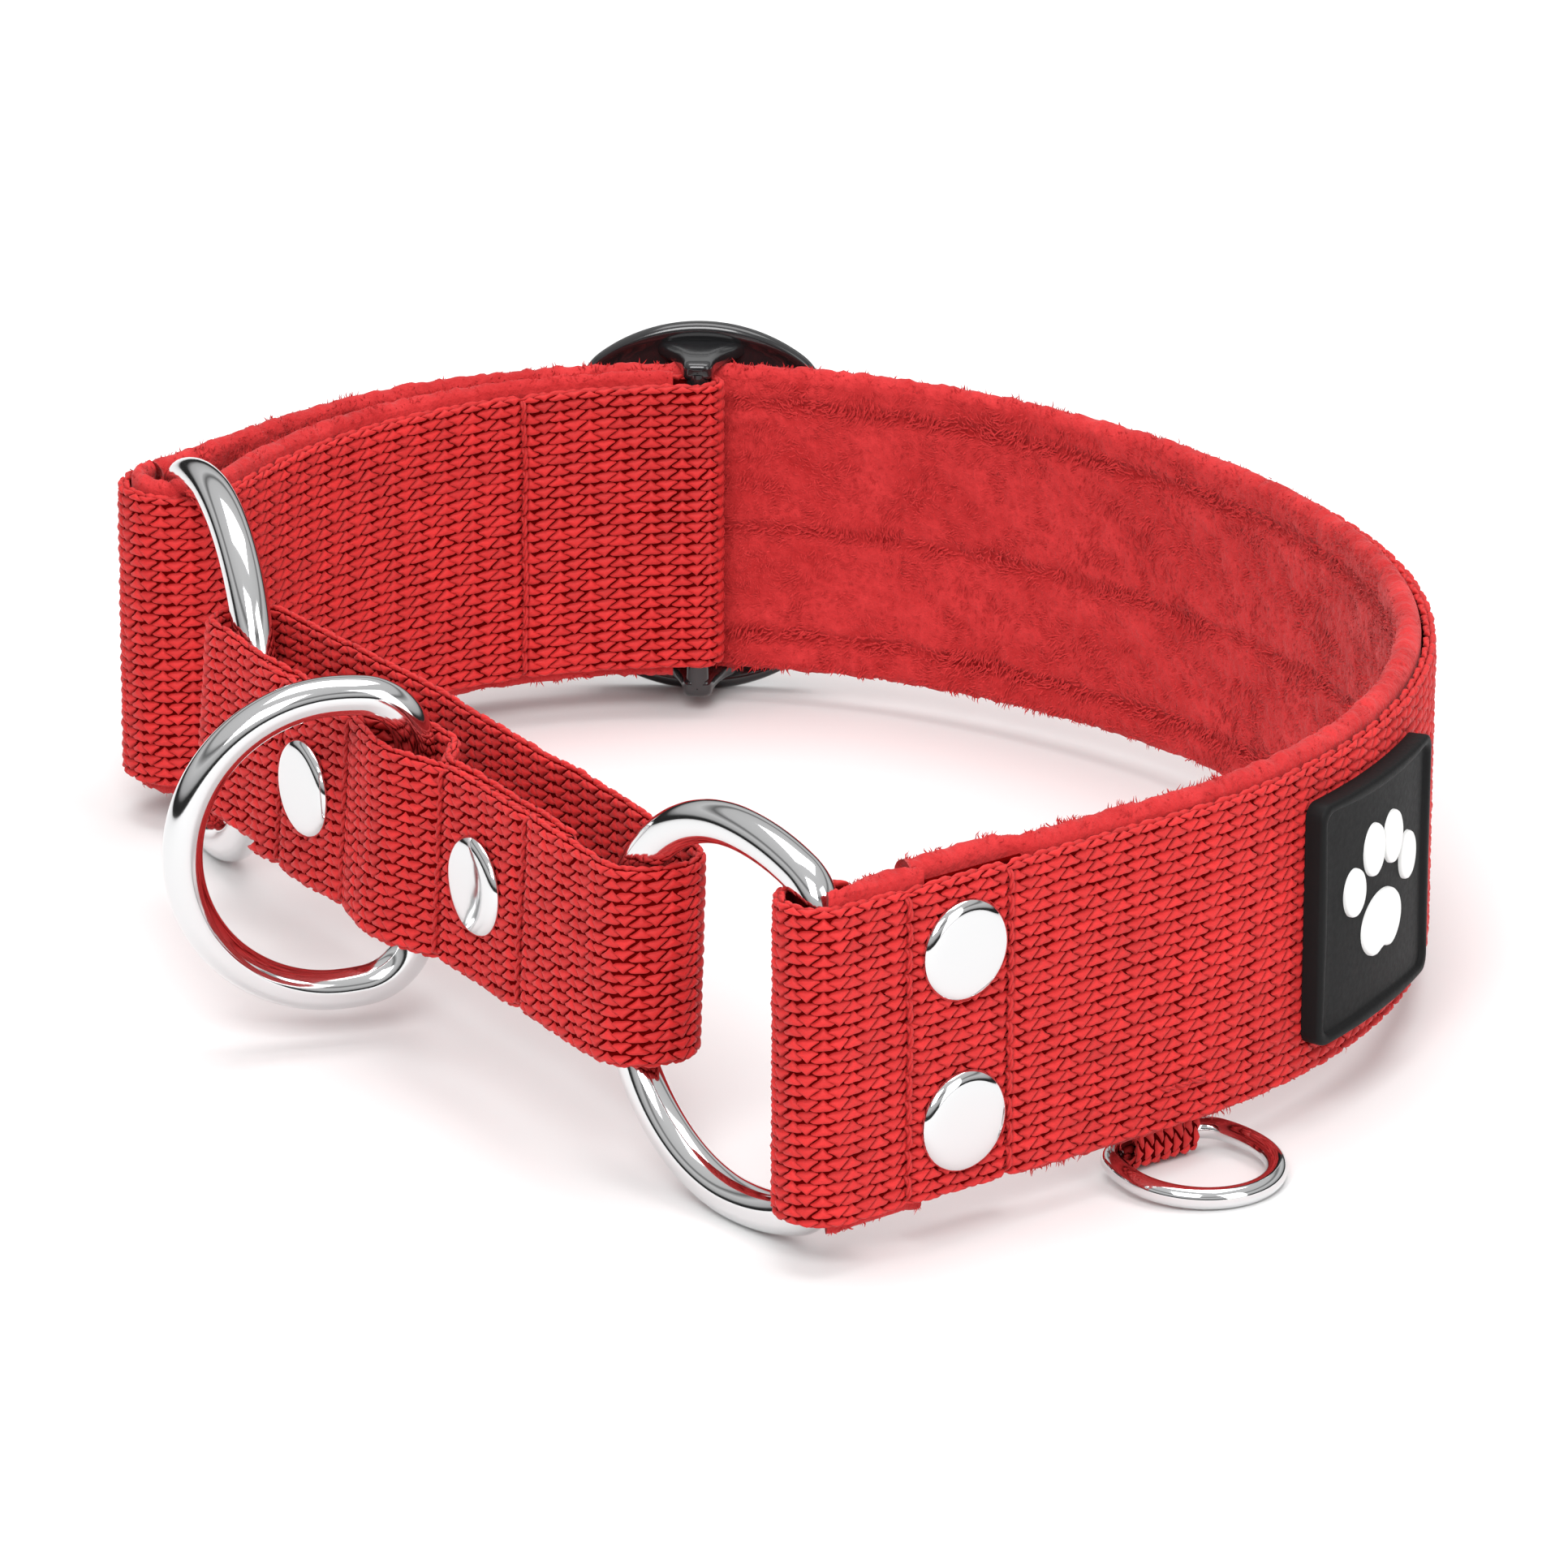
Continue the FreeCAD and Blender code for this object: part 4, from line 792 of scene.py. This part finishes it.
# ------------------------------------------------------------------ build: main strap
WEB = Section(WEB_W, WEB_T)
FLEX_WAY = STRAP.direction(np.array([STRAP.starts[6] + math.radians(FLEX_SWEEP) * BACK_R]))[0]
RISE, RISE_FROM, RISE_OVER = 1.2, -25.0, 60.0               # the returning end's climb, by its y
FOLD_RIVET_S, FOLD_RIVET_Z = 17.0, 10.7


def return_s(angle):
    """Arc length on the returning strap at an angle before the slider's bar."""
    return S_RETURN + math.radians(STRAP.pieces[11][2] - (SLIDER_ANGLE + angle)) * RETURN_R


S_FOLD_SEAMS = (S_SIDE + 8.9, S_SIDE + 24.1)
S_RETURN_SEAM = return_s(TAIL_ANGLE - 2.0)
SEAM_DIPS = [(s, 0.75, 0.45) for s in (*S_FOLD_SEAMS, S_RETURN_SEAM)]


def band_blend(piece):
    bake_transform(piece)


def return_blend(piece):
    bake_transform(piece)


def return_rise(points):
    """The returning end climbs a little towards the slide adjuster."""
    points = np.array(points, float)
    points[..., 2] += RISE * np.clip((points[..., 1] - RISE_FROM) / RISE_OVER, 0, 1)
    return points


def build_main_strap():
    outer = WEB.flat / 2 + math.pi * WEB.round
    part = core(STRAP, WEB, 0.0, S_LEFT_FOLD, 1.2, MID_Z, dips=SEAM_DIPS)
    dress(mesh_piece("band_webbing_core", YARN_CORE_PAINTED_SHADE, *part), "webbing", band_blend,
          "main_webbing", "left_webbing")
    cuts = [S_SIDE - 24.0, S_SIDE + 90.0, S_SIDE + 205.0, S_SIDE + 300.0, S_LEFT_FOLD]
    for number, (s0, s1) in enumerate(zip(cuts, cuts[1:]), start=1):
        part = floats(STRAP, WEB, s0, s1, -outer, outer, MID_Z, 100 + number, dips=SEAM_DIPS)
        dress(mesh_piece("band_webbing_yarn_%d" % number, YARN, *part), "webbing", band_blend)
    part = core(STRAP, WEB, S_LEFT_FOLD, STRAP.length, 0.8, MID_Z, dips=SEAM_DIPS, warp=return_rise)
    dress(mesh_piece("return_webbing_core", YARN_CORE_PAINTED_SHADE, *part), "webbing", return_blend, "return_webbing")
    part = floats(STRAP, WEB, S_LEFT_FOLD, STRAP.starts[14], -outer, outer, MID_Z, 140,
                  dips=SEAM_DIPS, warp=return_rise)
    dress(mesh_piece("return_webbing_yarn", YARN, *part), "webbing", return_blend)


def ease(value):
    """Zero to one over the same range, flat at both ends."""
    value = np.clip(value, 0, 1)
    return value * value * (3 - 2 * value)


def on_one_ply(s):
    """How far in a lining that lies on one ply of webbing starts."""
    return np.full(np.shape(s), WEB_T + PLY_GAP)


def build_lining():
    start = S_SIDE + CUT_TURN

    def near_band(s):
        step = ease((np.asarray(s, float) - S_SIDE - CUT_END) / 3.5 + 0.5)
        return (2 * WEB_T + 2 * PLY_GAP) * (1 - step) + (WEB_T + PLY_GAP) * step

    def thick_band(s):
        return np.full(np.shape(s), LINING_T)

    s = np.append(np.arange(start, S_LEFT_FOLD, LINING_STEP), S_LEFT_FOLD)
    part = lining_grid(s, near_band(s), thick_band(s), 11, seams=LINING_SEAMS)
    dress(mesh_piece("band_plush", PLUSH, *part), "plush", band_blend, "main_lining", "left_lining")
    cuts = np.linspace(start, S_LEFT_FOLD, 4)
    for number, (s0, s1) in enumerate(zip(cuts, cuts[1:]), start=1):
        part = tufts(s0, s1, near_band, thick_band, 200 + number, 4.0, 1.1)
        dress(mesh_piece("band_pile_%d" % number, PLUSH, *part), "plush", band_blend)

    def thick_right_fold(s):
        opened = np.clip((np.asarray(s, float) - S_SIDE - 1.0) / 5.0, 0, 1)
        shut = np.clip((start - np.asarray(s, float)) / 3.0, 0, 1)
        return 1.0 + 2.2 * np.minimum(opened, shut)

    s = np.arange(S_SIDE - 2.5, S_SIDE + 12.5, 0.4)
    part = lining_grid(s, on_one_ply(s), thick_right_fold(s), 13)
    dress(mesh_piece("fold_plush", PLUSH, *part), "plush", "band")
    part = tufts(s[0], s[-1], on_one_ply, thick_right_fold, 230, 1.0, 0.8, edge_per_mm=14.0)
    dress(mesh_piece("fold_pile", PLUSH, *part), "plush", "band")

    pressed_from, end = return_s(TAIL_ANGLE + 1.2), return_s(3.0)

    def thick_return(s):
        s = np.asarray(s, float)
        grow = np.clip((s - S_RETURN + 8.0) / 8.0, 0, 1)
        pressed = np.clip((s - pressed_from) / 2.0 + 0.5, 0, 1)
        return (1.9 + 0.9 * grow) * (1 - pressed) + 1.72 * pressed

    s = np.append(np.arange(S_LEFT_FOLD, end, 0.5), end)
    part = lining_grid(s, on_one_ply(s), thick_return(s), 12, warp=return_rise)
    dress(mesh_piece("return_plush", PLUSH, *part), "plush", return_blend, "return_lining")
    part = tufts(S_LEFT_FOLD, end, on_one_ply, thick_return, 220, 1.5, 0.8, warp=return_rise,
                 edge_per_mm=14.0)
    dress(mesh_piece("return_pile", PLUSH, *part), "plush", return_blend)


def build_strap_seams():
    parts = []
    for number, s in enumerate(S_FOLD_SEAMS):
        parts += stitch_row(*across(STRAP, s, MID_Z, 38.0, 3.1, number), lift=-0.3)
    dress(mesh_piece("fold_stitches", THREAD, *merge(parts)), "thread", "band", "fold_seams")
    parts = stitch_row(*across(STRAP, S_RETURN_SEAM, MID_Z, 38.4, 3.1, 5, return_rise), lift=-0.3)
    dress(mesh_piece("return_stitches", THREAD, *merge(parts)), "thread", "slider_body", "return_seam")


# ------------------------------------------------------------------ build: control loop
LOOP_WEB = Section(LOOP_W, LOOP_T)
LOOP_SEAMS = (-78.0, -60.3, -37.0, -16.4)
LOOP_RIVETS = (-27.3, -70.3)
LOOP_START, RING_TUNNEL, LOOP_TILT = -84.0, -49.0, 0.055


def loop_warp(points):
    """The sewn loop isn't true: it hangs lower at the left, leans, and swells where it holds the ring."""
    a = math.radians(LOOP_LEAN)
    way, out = np.array([math.cos(a), math.sin(a)]), np.array([-math.sin(a), math.cos(a)])
    flat = points[..., :2] - RIGHT_CROWN
    x, y, z = flat @ way, flat @ out, points[..., 2] - LOOP_Z
    front = np.clip((-3.3 - y) / 1.5, 0, 1)
    swell = 1.3 * np.exp(-((x - RING_TUNNEL) / 6.5) ** 2) * front
    pinch = sum(0.35 * np.exp(-((x - seam) / 1.6) ** 2) for seam in LOOP_SEAMS) * (y < 3.0)
    lean = (LOOP_TILT - 0.00045 * (x + 50.0)) * z
    wave = value_noise(x / 7.0, 0 * x + np.sign(y - 3.0), 61) - 0.5
    wave = 0.35 * wave * np.clip(np.abs(z) / (LOOP_W / 2), 0, 1)
    dent = 0.5 * (value_noise(x / 9.0, z / 9.0, 62) - 0.5) * (np.abs(x - RING_TUNNEL) < 50)
    y = y - swell + pinch * front + lean + dent
    z = z * (1 - 0.02 * (x < -86)) + 0.020 * (x + 50.0) + wave
    flat = x[..., None] * way + y[..., None] * out + RIGHT_CROWN
    return np.concatenate([flat, (z + LOOP_Z)[..., None]], axis=-1)


def loop_s(x):
    """Arc length of the loop's outer face where its front is x along the loop."""
    return x - LOOP_START


LOOP_DIPS = [(loop_s(x), 0.7, 0.4) for x in LOOP_SEAMS]


def build_loop():
    cloth = dict(warp=loop_warp, dips=LOOP_DIPS)
    part = core(LOOP, LOOP_WEB, 0.0, LOOP.length, 0.9, LOOP_Z, inset=0.42, **cloth)
    dress(mesh_piece("loop_webbing_core", YARN_CORE_PAINTED_SHADE, *part), "webbing", "loop_body", "control_loop")
    half = LOOP_WEB.around / 2
    cuts = np.linspace(0, LOOP.length, 3)
    for number, (s0, s1) in enumerate(zip(cuts, cuts[1:]), start=1):
        part = floats(LOOP, LOOP_WEB, s0, s1, -half, half - 0.8, LOOP_Z, 160 + number, rows=36, **cloth)
        dress(mesh_piece("loop_webbing_yarn_%d" % number, YARN, *part), "webbing", "loop_body")
    parts = []
    for number, x in enumerate(LOOP_SEAMS):
        row = across(LOOP, loop_s(x), LOOP_Z, LOOP_W - 1.6, 2.9, 20 + number, loop_warp)
        parts += stitch_row(*row, lift=-0.28)
    dress(mesh_piece("loop_stitches", THREAD, *merge(parts)), "thread", "loop_body", "loop_seams")


def face_place(route, s, z):
    """Point and outward normal on a route's outer face."""
    xy = route.at(np.array([s]), np.array([0.0]))[0]
    way = route.direction(np.array([s]))[0]
    return np.array([xy[0], xy[1], z]), np.array([way[1], -way[0], 0.0])


def build_hardware():
    big = (RING_H, RING_D, RING_WIRE, RING_CORNER)
    small = (LEASH_H, LEASH_D, LEASH_WIRE, LEASH_CORNER)
    for which, bar, way, sizes in (("right", RIGHT_BAR, RIGHT_CROWN_TO, big),
                                   ("left", LEFT_BAR, LEFT_CROWN_TO, big),
                                   ("leash", LEASH_BAR, LEASH_CROWN_TO, small)):
        d_ring(which, (*bar, MID_Z), (*unit(way), 0), (0.0, 0.0, 1.0), sizes)
    dip = math.asin((TAG_BAR[2] - TAG_WIRE / 2) / (TAG_D - TAG_WIRE))
    out = unit(HEADING - 90)
    crown = (out[0] * math.cos(dip), out[1] * math.cos(dip), -math.sin(dip))
    d_ring("tag", TAG_BAR, crown, (*unit(HEADING), 0.0), (TAG_H, TAG_D, TAG_WIRE, TAG_CORNER))
    rivet_caps("band", "band", [face_place(STRAP, S_SIDE + FOLD_RIVET_S, MID_Z + dz)
                                for dz in (-FOLD_RIVET_Z, FOLD_RIVET_Z)])
    places = []
    for x in LOOP_RIVETS:
        spot, axis = face_place(LOOP, loop_s(x), LOOP_Z)
        places.append((loop_warp(spot[None])[0], axis + np.array([0.0, 0.0, LOOP_TILT])))
    rivet_caps("loop", "loop_body", places)


# ------------------------------------------------------------------ build: slider
def radial(outline, angles):
    """Distance from the centre to a closed outline at each angle."""
    outline = np.asarray(outline)
    angle = np.unwrap(np.arctan2(outline[:, 1], outline[:, 0]))
    reach = np.hypot(outline[:, 0], outline[:, 1])
    order = np.argsort(angle % (2 * math.pi))
    a = (angle % (2 * math.pi))[order]
    r = reach[order]
    a = np.concatenate([a - 2 * math.pi, a, a + 2 * math.pi])
    return np.interp(angles, a, np.tile(r, 3))


SLIDER_HALF, SLIDER_TOP, SLIDER_END_R, SLIDER_CORNER, SLIDER_T = 16.5, 26.0, 22.5, 7.0, 2.4
WINDOW_X, WINDOW_Y, WINDOW_CORNER = 12.5, 18.4, 4.0
SLIDER_CLEAR, NECK_Z, NECK_HALF, BAR_R, BAR_HALF = 0.6, 22.3, 1.25, 1.5, 22.0
# share of the way from the ring's outer edge to its window, and height as a share of its thickness
RING_PROFILE = np.array([
    (0.0, 0.25), (0.0, 0.6), (0.03, 0.82), (0.10, 0.95), (0.25, 1.0), (0.6, 1.0), (0.85, 0.97),
    (0.96, 0.85), (1.0, 0.62), (1.0, 0.40), (0.96, 0.22), (0.86, 0.16), (0.7, 0.22), (0.5, 0.26),
    (0.34, 0.20), (0.24, 0.02), (0.18, -0.05), (0.10, -0.05), (0.04, 0.04)])
# a neck's distance out from the bar, its half width, and its depth as a share; the last is at the ring
NECK_PROFILE = [(-1.3, 0.1, 0.05), (-1.3, 1.1, 0.55), (-1.1, 1.6, 0.85), (-0.6, 1.9, 1.0), (0.8, 2.1, 1.0),
                (2.5, 2.4, 1.0), (4.5, 3.0, 1.0), (6.0, 3.7, 1.0), (7.2, 4.6, 1.05), (None, 6.0, 1.1)]


def sampled(pieces, count):
    route = Route(pieces)
    return route.at(np.linspace(0, route.length, count, endpoint=False), 0.0)


def slider_outline():
    half, end, corner = SLIDER_HALF, SLIDER_END_R, SLIDER_CORNER
    centre = SLIDER_TOP - end
    cx = half - corner
    cy = centre + math.sqrt((end - corner) ** 2 - cx ** 2)
    lean = math.degrees(math.atan2(cy - centre, cx))
    return sampled([((half, -cy), (half, cy)), ((cx, cy), corner, 0, lean),
                    ((0, centre), end, lean, 180 - lean), ((-cx, cy), corner, 180 - lean, 180),
                    ((-half, cy), (-half, -cy)), ((-cx, -cy), corner, 180, 180 + lean),
                    ((0, -centre), end, 180 + lean, 360 - lean), ((cx, -cy), corner, 360 - lean, 360)], 400)


def window_outline():
    x, y, r = WINDOW_X, WINDOW_Y, WINDOW_CORNER
    return sampled(rounded([(0, -y, 0), (x, -y, r), (x, y, r), (-x, y, r), (-x, -y, r), (0, -y, 0)]), 400)


def build_slider():
    """Rounded ring outside the strap, two necks past the strap's edges, and the bar between them."""
    angles = np.linspace(0, 2 * math.pi, 240, endpoint=False)
    outer, inner = radial(slider_outline(), angles), radial(window_outline(), angles)
    drop = LEFT_R - math.sqrt(LEFT_R ** 2 - WINDOW_X ** 2)
    floor = LEFT_R - drop + SLIDER_CLEAR - (RETURN_R + WRAP_R)
    share, rise = RING_PROFILE[:, :1], RING_PROFILE[:, 1:]
    reach = outer[None] * (1 - share) + inner[None] * share
    ring = np.stack([reach * np.cos(angles), reach * np.sin(angles),
                     floor + SLIDER_T * rise + np.zeros(reach.shape)], axis=-1)
    parts = [lofted(np.concatenate([ring, ring[:1]]))]
    turn = np.linspace(0, 2 * math.pi, 40, endpoint=False)
    for sign in (1.0, -1.0):
        rows = []
        for d, wide, deep in NECK_PROFILE:
            x = wide * np.sign(np.cos(turn)) * np.abs(np.cos(turn)) ** 0.45
            y = NECK_Z + NECK_HALF * deep * np.sign(np.sin(turn)) * np.abs(np.sin(turn)) ** 0.6
            rows.append(np.stack([x, sign * y, np.full(x.shape, floor + 0.9 if d is None else d)], -1))
        parts.append(lofted(rows))
    turn = np.linspace(0, 2 * math.pi, 24, endpoint=False)
    parts.append(lofted([np.stack([BAR_R * np.cos(turn), np.full(24, y), BAR_R * np.sin(turn)], -1)
                         for y in np.linspace(-BAR_HALF, BAR_HALF, 5)]))
    verts, faces = merge(parts)[:2]
    out = np.array([*unit(SLIDER_ANGLE), 0.0])
    side = np.array([*unit(SLIDER_ANGLE + 90), 0.0])
    base = np.array([*SLIDER_BAR, MID_Z])
    world = base + verts[:, :1] * side + verts[:, 1:2] * np.array([0, 0, 1.0]) + verts[:, 2:3] * out
    piece = mesh_piece("slide_adjuster", GLOSS_BLACK, world, faces)
    recalc(piece)
    dress(piece, "slider_black", "slider_body", "slider")


def recalc(piece):
    """Joins points that meet and makes all normals of a piece point outwards."""
    mesh = bmesh.new()
    mesh.from_mesh(piece.data)
    bmesh.ops.remove_doubles(mesh, verts=mesh.verts, dist=1e-6)
    bmesh.ops.recalc_face_normals(mesh, faces=mesh.faces)
    mesh.to_mesh(piece.data)
    mesh.free()


# ------------------------------------------------------------------ build: badge and tag tab
def badge_point(x, y, h):
    """World point on the badge: x along the strap, y up, h above the strap's outer face."""
    angle = np.radians(HEADING - 90 + BADGE_ANGLE) + np.asarray(x) / CORNER_R
    reach = CORNER_R + np.asarray(h)
    return np.stack([CORNER_CENTRE[0] + reach * np.cos(angle), CORNER_CENTRE[1] + reach * np.sin(angle),
                     MID_Z + np.asarray(y) + 0 * angle], axis=-1)


BADGE_CORNER, BADGE_ANGLE = 1.8, 24.0                         # angle past the corner's start
RIM_SPREAD = 1.08
RIM_INSET = [0.0, 0.0, 0.12, 0.35, 0.7, 1.05, 1.35, 1.5, 1.62, 1.9]
RIM_RISE = [0.05, 2.15, 2.5, 2.66, 2.7, 2.66, 2.5, 2.2, 2.04, 2.0]
PADS = [(0.0, -0.13, 0.17, 0.13), (-0.24, 0.07, 0.075, 0.10), (-0.085, 0.20, 0.078, 0.11),
        (0.085, 0.20, 0.078, 0.11), (0.24, 0.07, 0.075, 0.10)]   # centre and half sizes, as shares
PAD_PROFILE = [(1.0, 1.9), (0.99, 2.35), (0.95, 2.6), (0.86, 2.74), (0.6, 2.8), (0.3, 2.82), (0.0, 2.82)]


def build_badge():
    half, corner, count = BADGE_SIDE / 2, BADGE_CORNER, 256
    angles = np.linspace(0, 2 * math.pi, count, endpoint=False)
    outline = sampled(rounded([(half, 0, 0), (half, half, corner), (-half, half, corner),
                               (-half, -half, corner), (half, -half, corner), (half, 0, 0)]), 800)
    edge = radial(outline, angles)
    reaches = [(edge - inset * RIM_SPREAD, rise) for inset, rise in zip(RIM_INSET, RIM_RISE)]
    reaches += [((edge - RIM_INSET[-1] * RIM_SPREAD) * k, BADGE_T) for k in np.linspace(0.86, 0.0, 8)]
    rows = [badge_point(reach * np.cos(angles), reach * np.sin(angles), np.full(count, height))
            for reach, height in reaches]
    piece = mesh_piece("rubber_badge", RUBBER_BLACK, *lofted(rows)[:2])
    recalc(piece)
    dress(piece, "badge_black", "band", "badge_base")
    parts = []
    turn = np.linspace(0, 2 * math.pi, 48, endpoint=False)
    for number, (x, y, wide, tall) in enumerate(PADS):
        rows = []
        for k, height in PAD_PROFILE:
            px = wide * BADGE_SIDE * np.cos(turn) * k
            py = tall * BADGE_SIDE * np.sin(turn) * k
            if number == 0:
                py = py * 1.05 + 1.1 * k * np.exp(-(px / 1.6) ** 2) * (py < 0)
            rows.append(badge_point(x * BADGE_SIDE + px, y * BADGE_SIDE + py, np.full(48, height)))
        parts.append(lofted(rows))
    piece = mesh_piece("badge_paw_print", RUBBER_WHITE, *merge(parts)[:2])
    recalc(piece)
    dress(piece, "badge_white", "band", "badge_paw")


TAB_W, TAB_T, TAB_R, TAB_BEND = 10.0, 1.1, 2.8, 1.6
TAB_TOP, TAB_DROP = 9.0, 3.2                                  # above and below the strap's lower edge
TAB_S, TAB_SEAM_DROP, TAB_SEAM_HALF = 51.2, 14.5, 3.6         # the tab's place on the right side


def build_tag_tab():
    tail = 2 * TAB_T + PLY_GAP
    bar, bend_centre = (TAB_R, -TAB_DROP), (tail + TAB_BEND, 1.6)
    angle = cross_over(bar, TAB_R, bend_centre, TAB_BEND, True)
    tab = Route([((0, TAB_TOP), (0, -TAB_DROP)), (bar, TAB_R, 180, angle + 360),
                 (polar(bar, TAB_R, angle), polar(bend_centre, TAB_BEND, angle + 180)),
                 (bend_centre, TAB_BEND, angle + 180, 180), ((tail, bend_centre[1]), (tail, TAB_TOP))])
    section = Section(TAB_W, TAB_T)
    inward, along = np.array([*unit(HEADING + 90), 0.0]), np.array([*unit(HEADING), 0.0])
    origin = TAG_BAR - inward * TAB_R + np.array([0, 0, TAB_DROP])

    def stand(part):
        verts, *others = part
        return [origin + verts[:, :1] * inward + verts[:, 1:2] * np.array([0, 0, 1.0])
                + verts[:, 2:3] * along, *others]

    part = core(tab, section, 0.0, tab.length, 0.6, 0.0, inset=0.3, around=24)
    dress(mesh_piece("tag_tab_core", YARN_CORE_PAINTED_SHADE, *stand(part)[:2]), "webbing", "band", "tag_tab")
    half = section.around / 2
    part = floats(tab, section, 0.0, tab.length, -half, half - 0.8, 0.0, 190, rows=14)
    dress(mesh_piece("tag_tab_yarn", YARN, *stand(part)), "webbing", "band")
    spots = [face_place(STRAP, S_SIDE + TAB_S + ds, MID_Z - TAB_SEAM_DROP)
             for ds in np.linspace(-TAB_SEAM_HALF, TAB_SEAM_HALF, 4)]
    row = stitch_row(np.array([spot[0] for spot in spots]), np.tile(spots[-1][1], (3, 1)), thread=0.2,
                     lift=-0.1)
    dress(mesh_piece("tag_stitches", THREAD, *merge(row)), "thread", "band", "tag_seam")


build_main_strap()
build_lining()
build_strap_seams()
build_loop()
build_hardware()
build_slider()
build_badge()
build_tag_tab()
for node in ("band_rivet_posts", "loop_rivet_posts"):
    data = frame["nodes"][node].data
    data.materials.clear()
    data.materials.append(STEEL)


# ------------------------------------------------------------------ floor, light and camera
def build_stage():
    size = 4000.0
    verts = np.array([[-size, -size, 0], [size, -size, 0], [size, size, 0], [-size, size, 0]], float)
    material, nodes, links, shader = node_material("pale_floor")
    constants(shader, Base_Color=(0.80, 0.80, 0.80, 1.0), Roughness=0.9)
    floor = mesh_piece("floor", material, verts, [[0, 1, 2, 3]])

    world = bpy.data.worlds.new("studio")
    bpy.context.scene.world = world
    world.use_nodes = True
    nodes, links = world.node_tree.nodes, world.node_tree.links
    background = nodes["Background"]
    background.inputs["Strength"].default_value = 0.62
    coords = nodes.new("ShaderNodeTexCoord")
    split = nodes.new("ShaderNodeSeparateXYZ")
    links.new(coords.outputs["Generated"], split.inputs["Vector"])
    height = add(nodes, "ShaderNodeMapRange")
    links.new(split.outputs["Z"], height.inputs["Value"])
    height.inputs["From Min"].default_value = -1.0
    bands = ramp(nodes, [(0.0, (0.9, 0.9, 0.9)), (0.47, (0.9, 0.9, 0.9)), (0.50, (0.03, 0.03, 0.03)),
                         (0.56, (0.05, 0.05, 0.05)), (0.60, (0.75, 0.75, 0.75)), (0.70, (1.1, 1.1, 1.1)),
                         (0.76, (0.25, 0.25, 0.25)), (0.80, (1.0, 1.0, 1.0)), (1.0, (1.2, 1.2, 1.2))])
    links.new(height.outputs["Result"], bands.inputs["Fac"])
    path = nodes.new("ShaderNodeLightPath")
    choose = nodes.new("ShaderNodeMix")
    choose.data_type = "RGBA"
    links.new(path.outputs["Is Glossy Ray"], choose.inputs[0])
    choose.inputs[6].default_value = (1.0, 1.0, 1.0, 1.0)
    links.new(bands.outputs["Color"], choose.inputs[7])
    links.new(choose.outputs[2], background.inputs["Color"])

    def area(name, place_mm, aim_mm, size_m, power):
        light = bpy.data.lights.new(name, "AREA")
        light.shape = "RECTANGLE"
        light.size, light.size_y = size_m
        light.energy = power
        lamp = bpy.data.objects.new(name, light)
        bpy.context.scene.collection.objects.link(lamp)
        lamp.location = Vector(place_mm) * MM
        way = Vector(aim_mm) * MM - lamp.location
        lamp.rotation_euler = way.to_track_quat("-Z", "Y").to_euler()
        return lamp

    area("key", (1300, -1100, 1500), (0, 0, 20), (1.1, 1.1), 34.0)
    area("fill", (1500, 500, 700), (0, 0, 20), (0.8, 1.4), 7.0)
    area("top", (-200, 200, 1800), (0, 0, 20), (1.6, 1.2), 20.0)


SENSOR, LENS_RATIO, CAMERA_ROLL = 36.0, 6.523292, 0.208       # mm, focal length over width, degrees


def build_camera():
    centre = np.array([8.925, -3.525, 26.0])
    azimuth, elevation, distance = math.radians(58.5), math.radians(20.0), 1276.7
    back = np.array([math.cos(elevation) * math.sin(azimuth), -math.cos(elevation) * math.cos(azimuth),
                     math.sin(elevation)])
    data = bpy.data.cameras.new("camera")
    data.sensor_width = SENSOR
    data.lens = SENSOR * LENS_RATIO
    data.clip_end = 100.0
    camera = bpy.data.objects.new("camera", data)
    bpy.context.scene.collection.objects.link(camera)
    camera.location = Vector(centre + back * distance) * MM
    look = Vector(-back).to_track_quat("-Z", "Y").to_matrix().to_4x4()
    camera.matrix_world = Matrix.Translation(camera.location) @ look @ Matrix.Rotation(
        math.radians(CAMERA_ROLL), 4, "Z")
    bpy.context.scene.camera = camera


build_stage()
build_camera()
bpy.context.scene.view_settings.view_transform = "Standard"
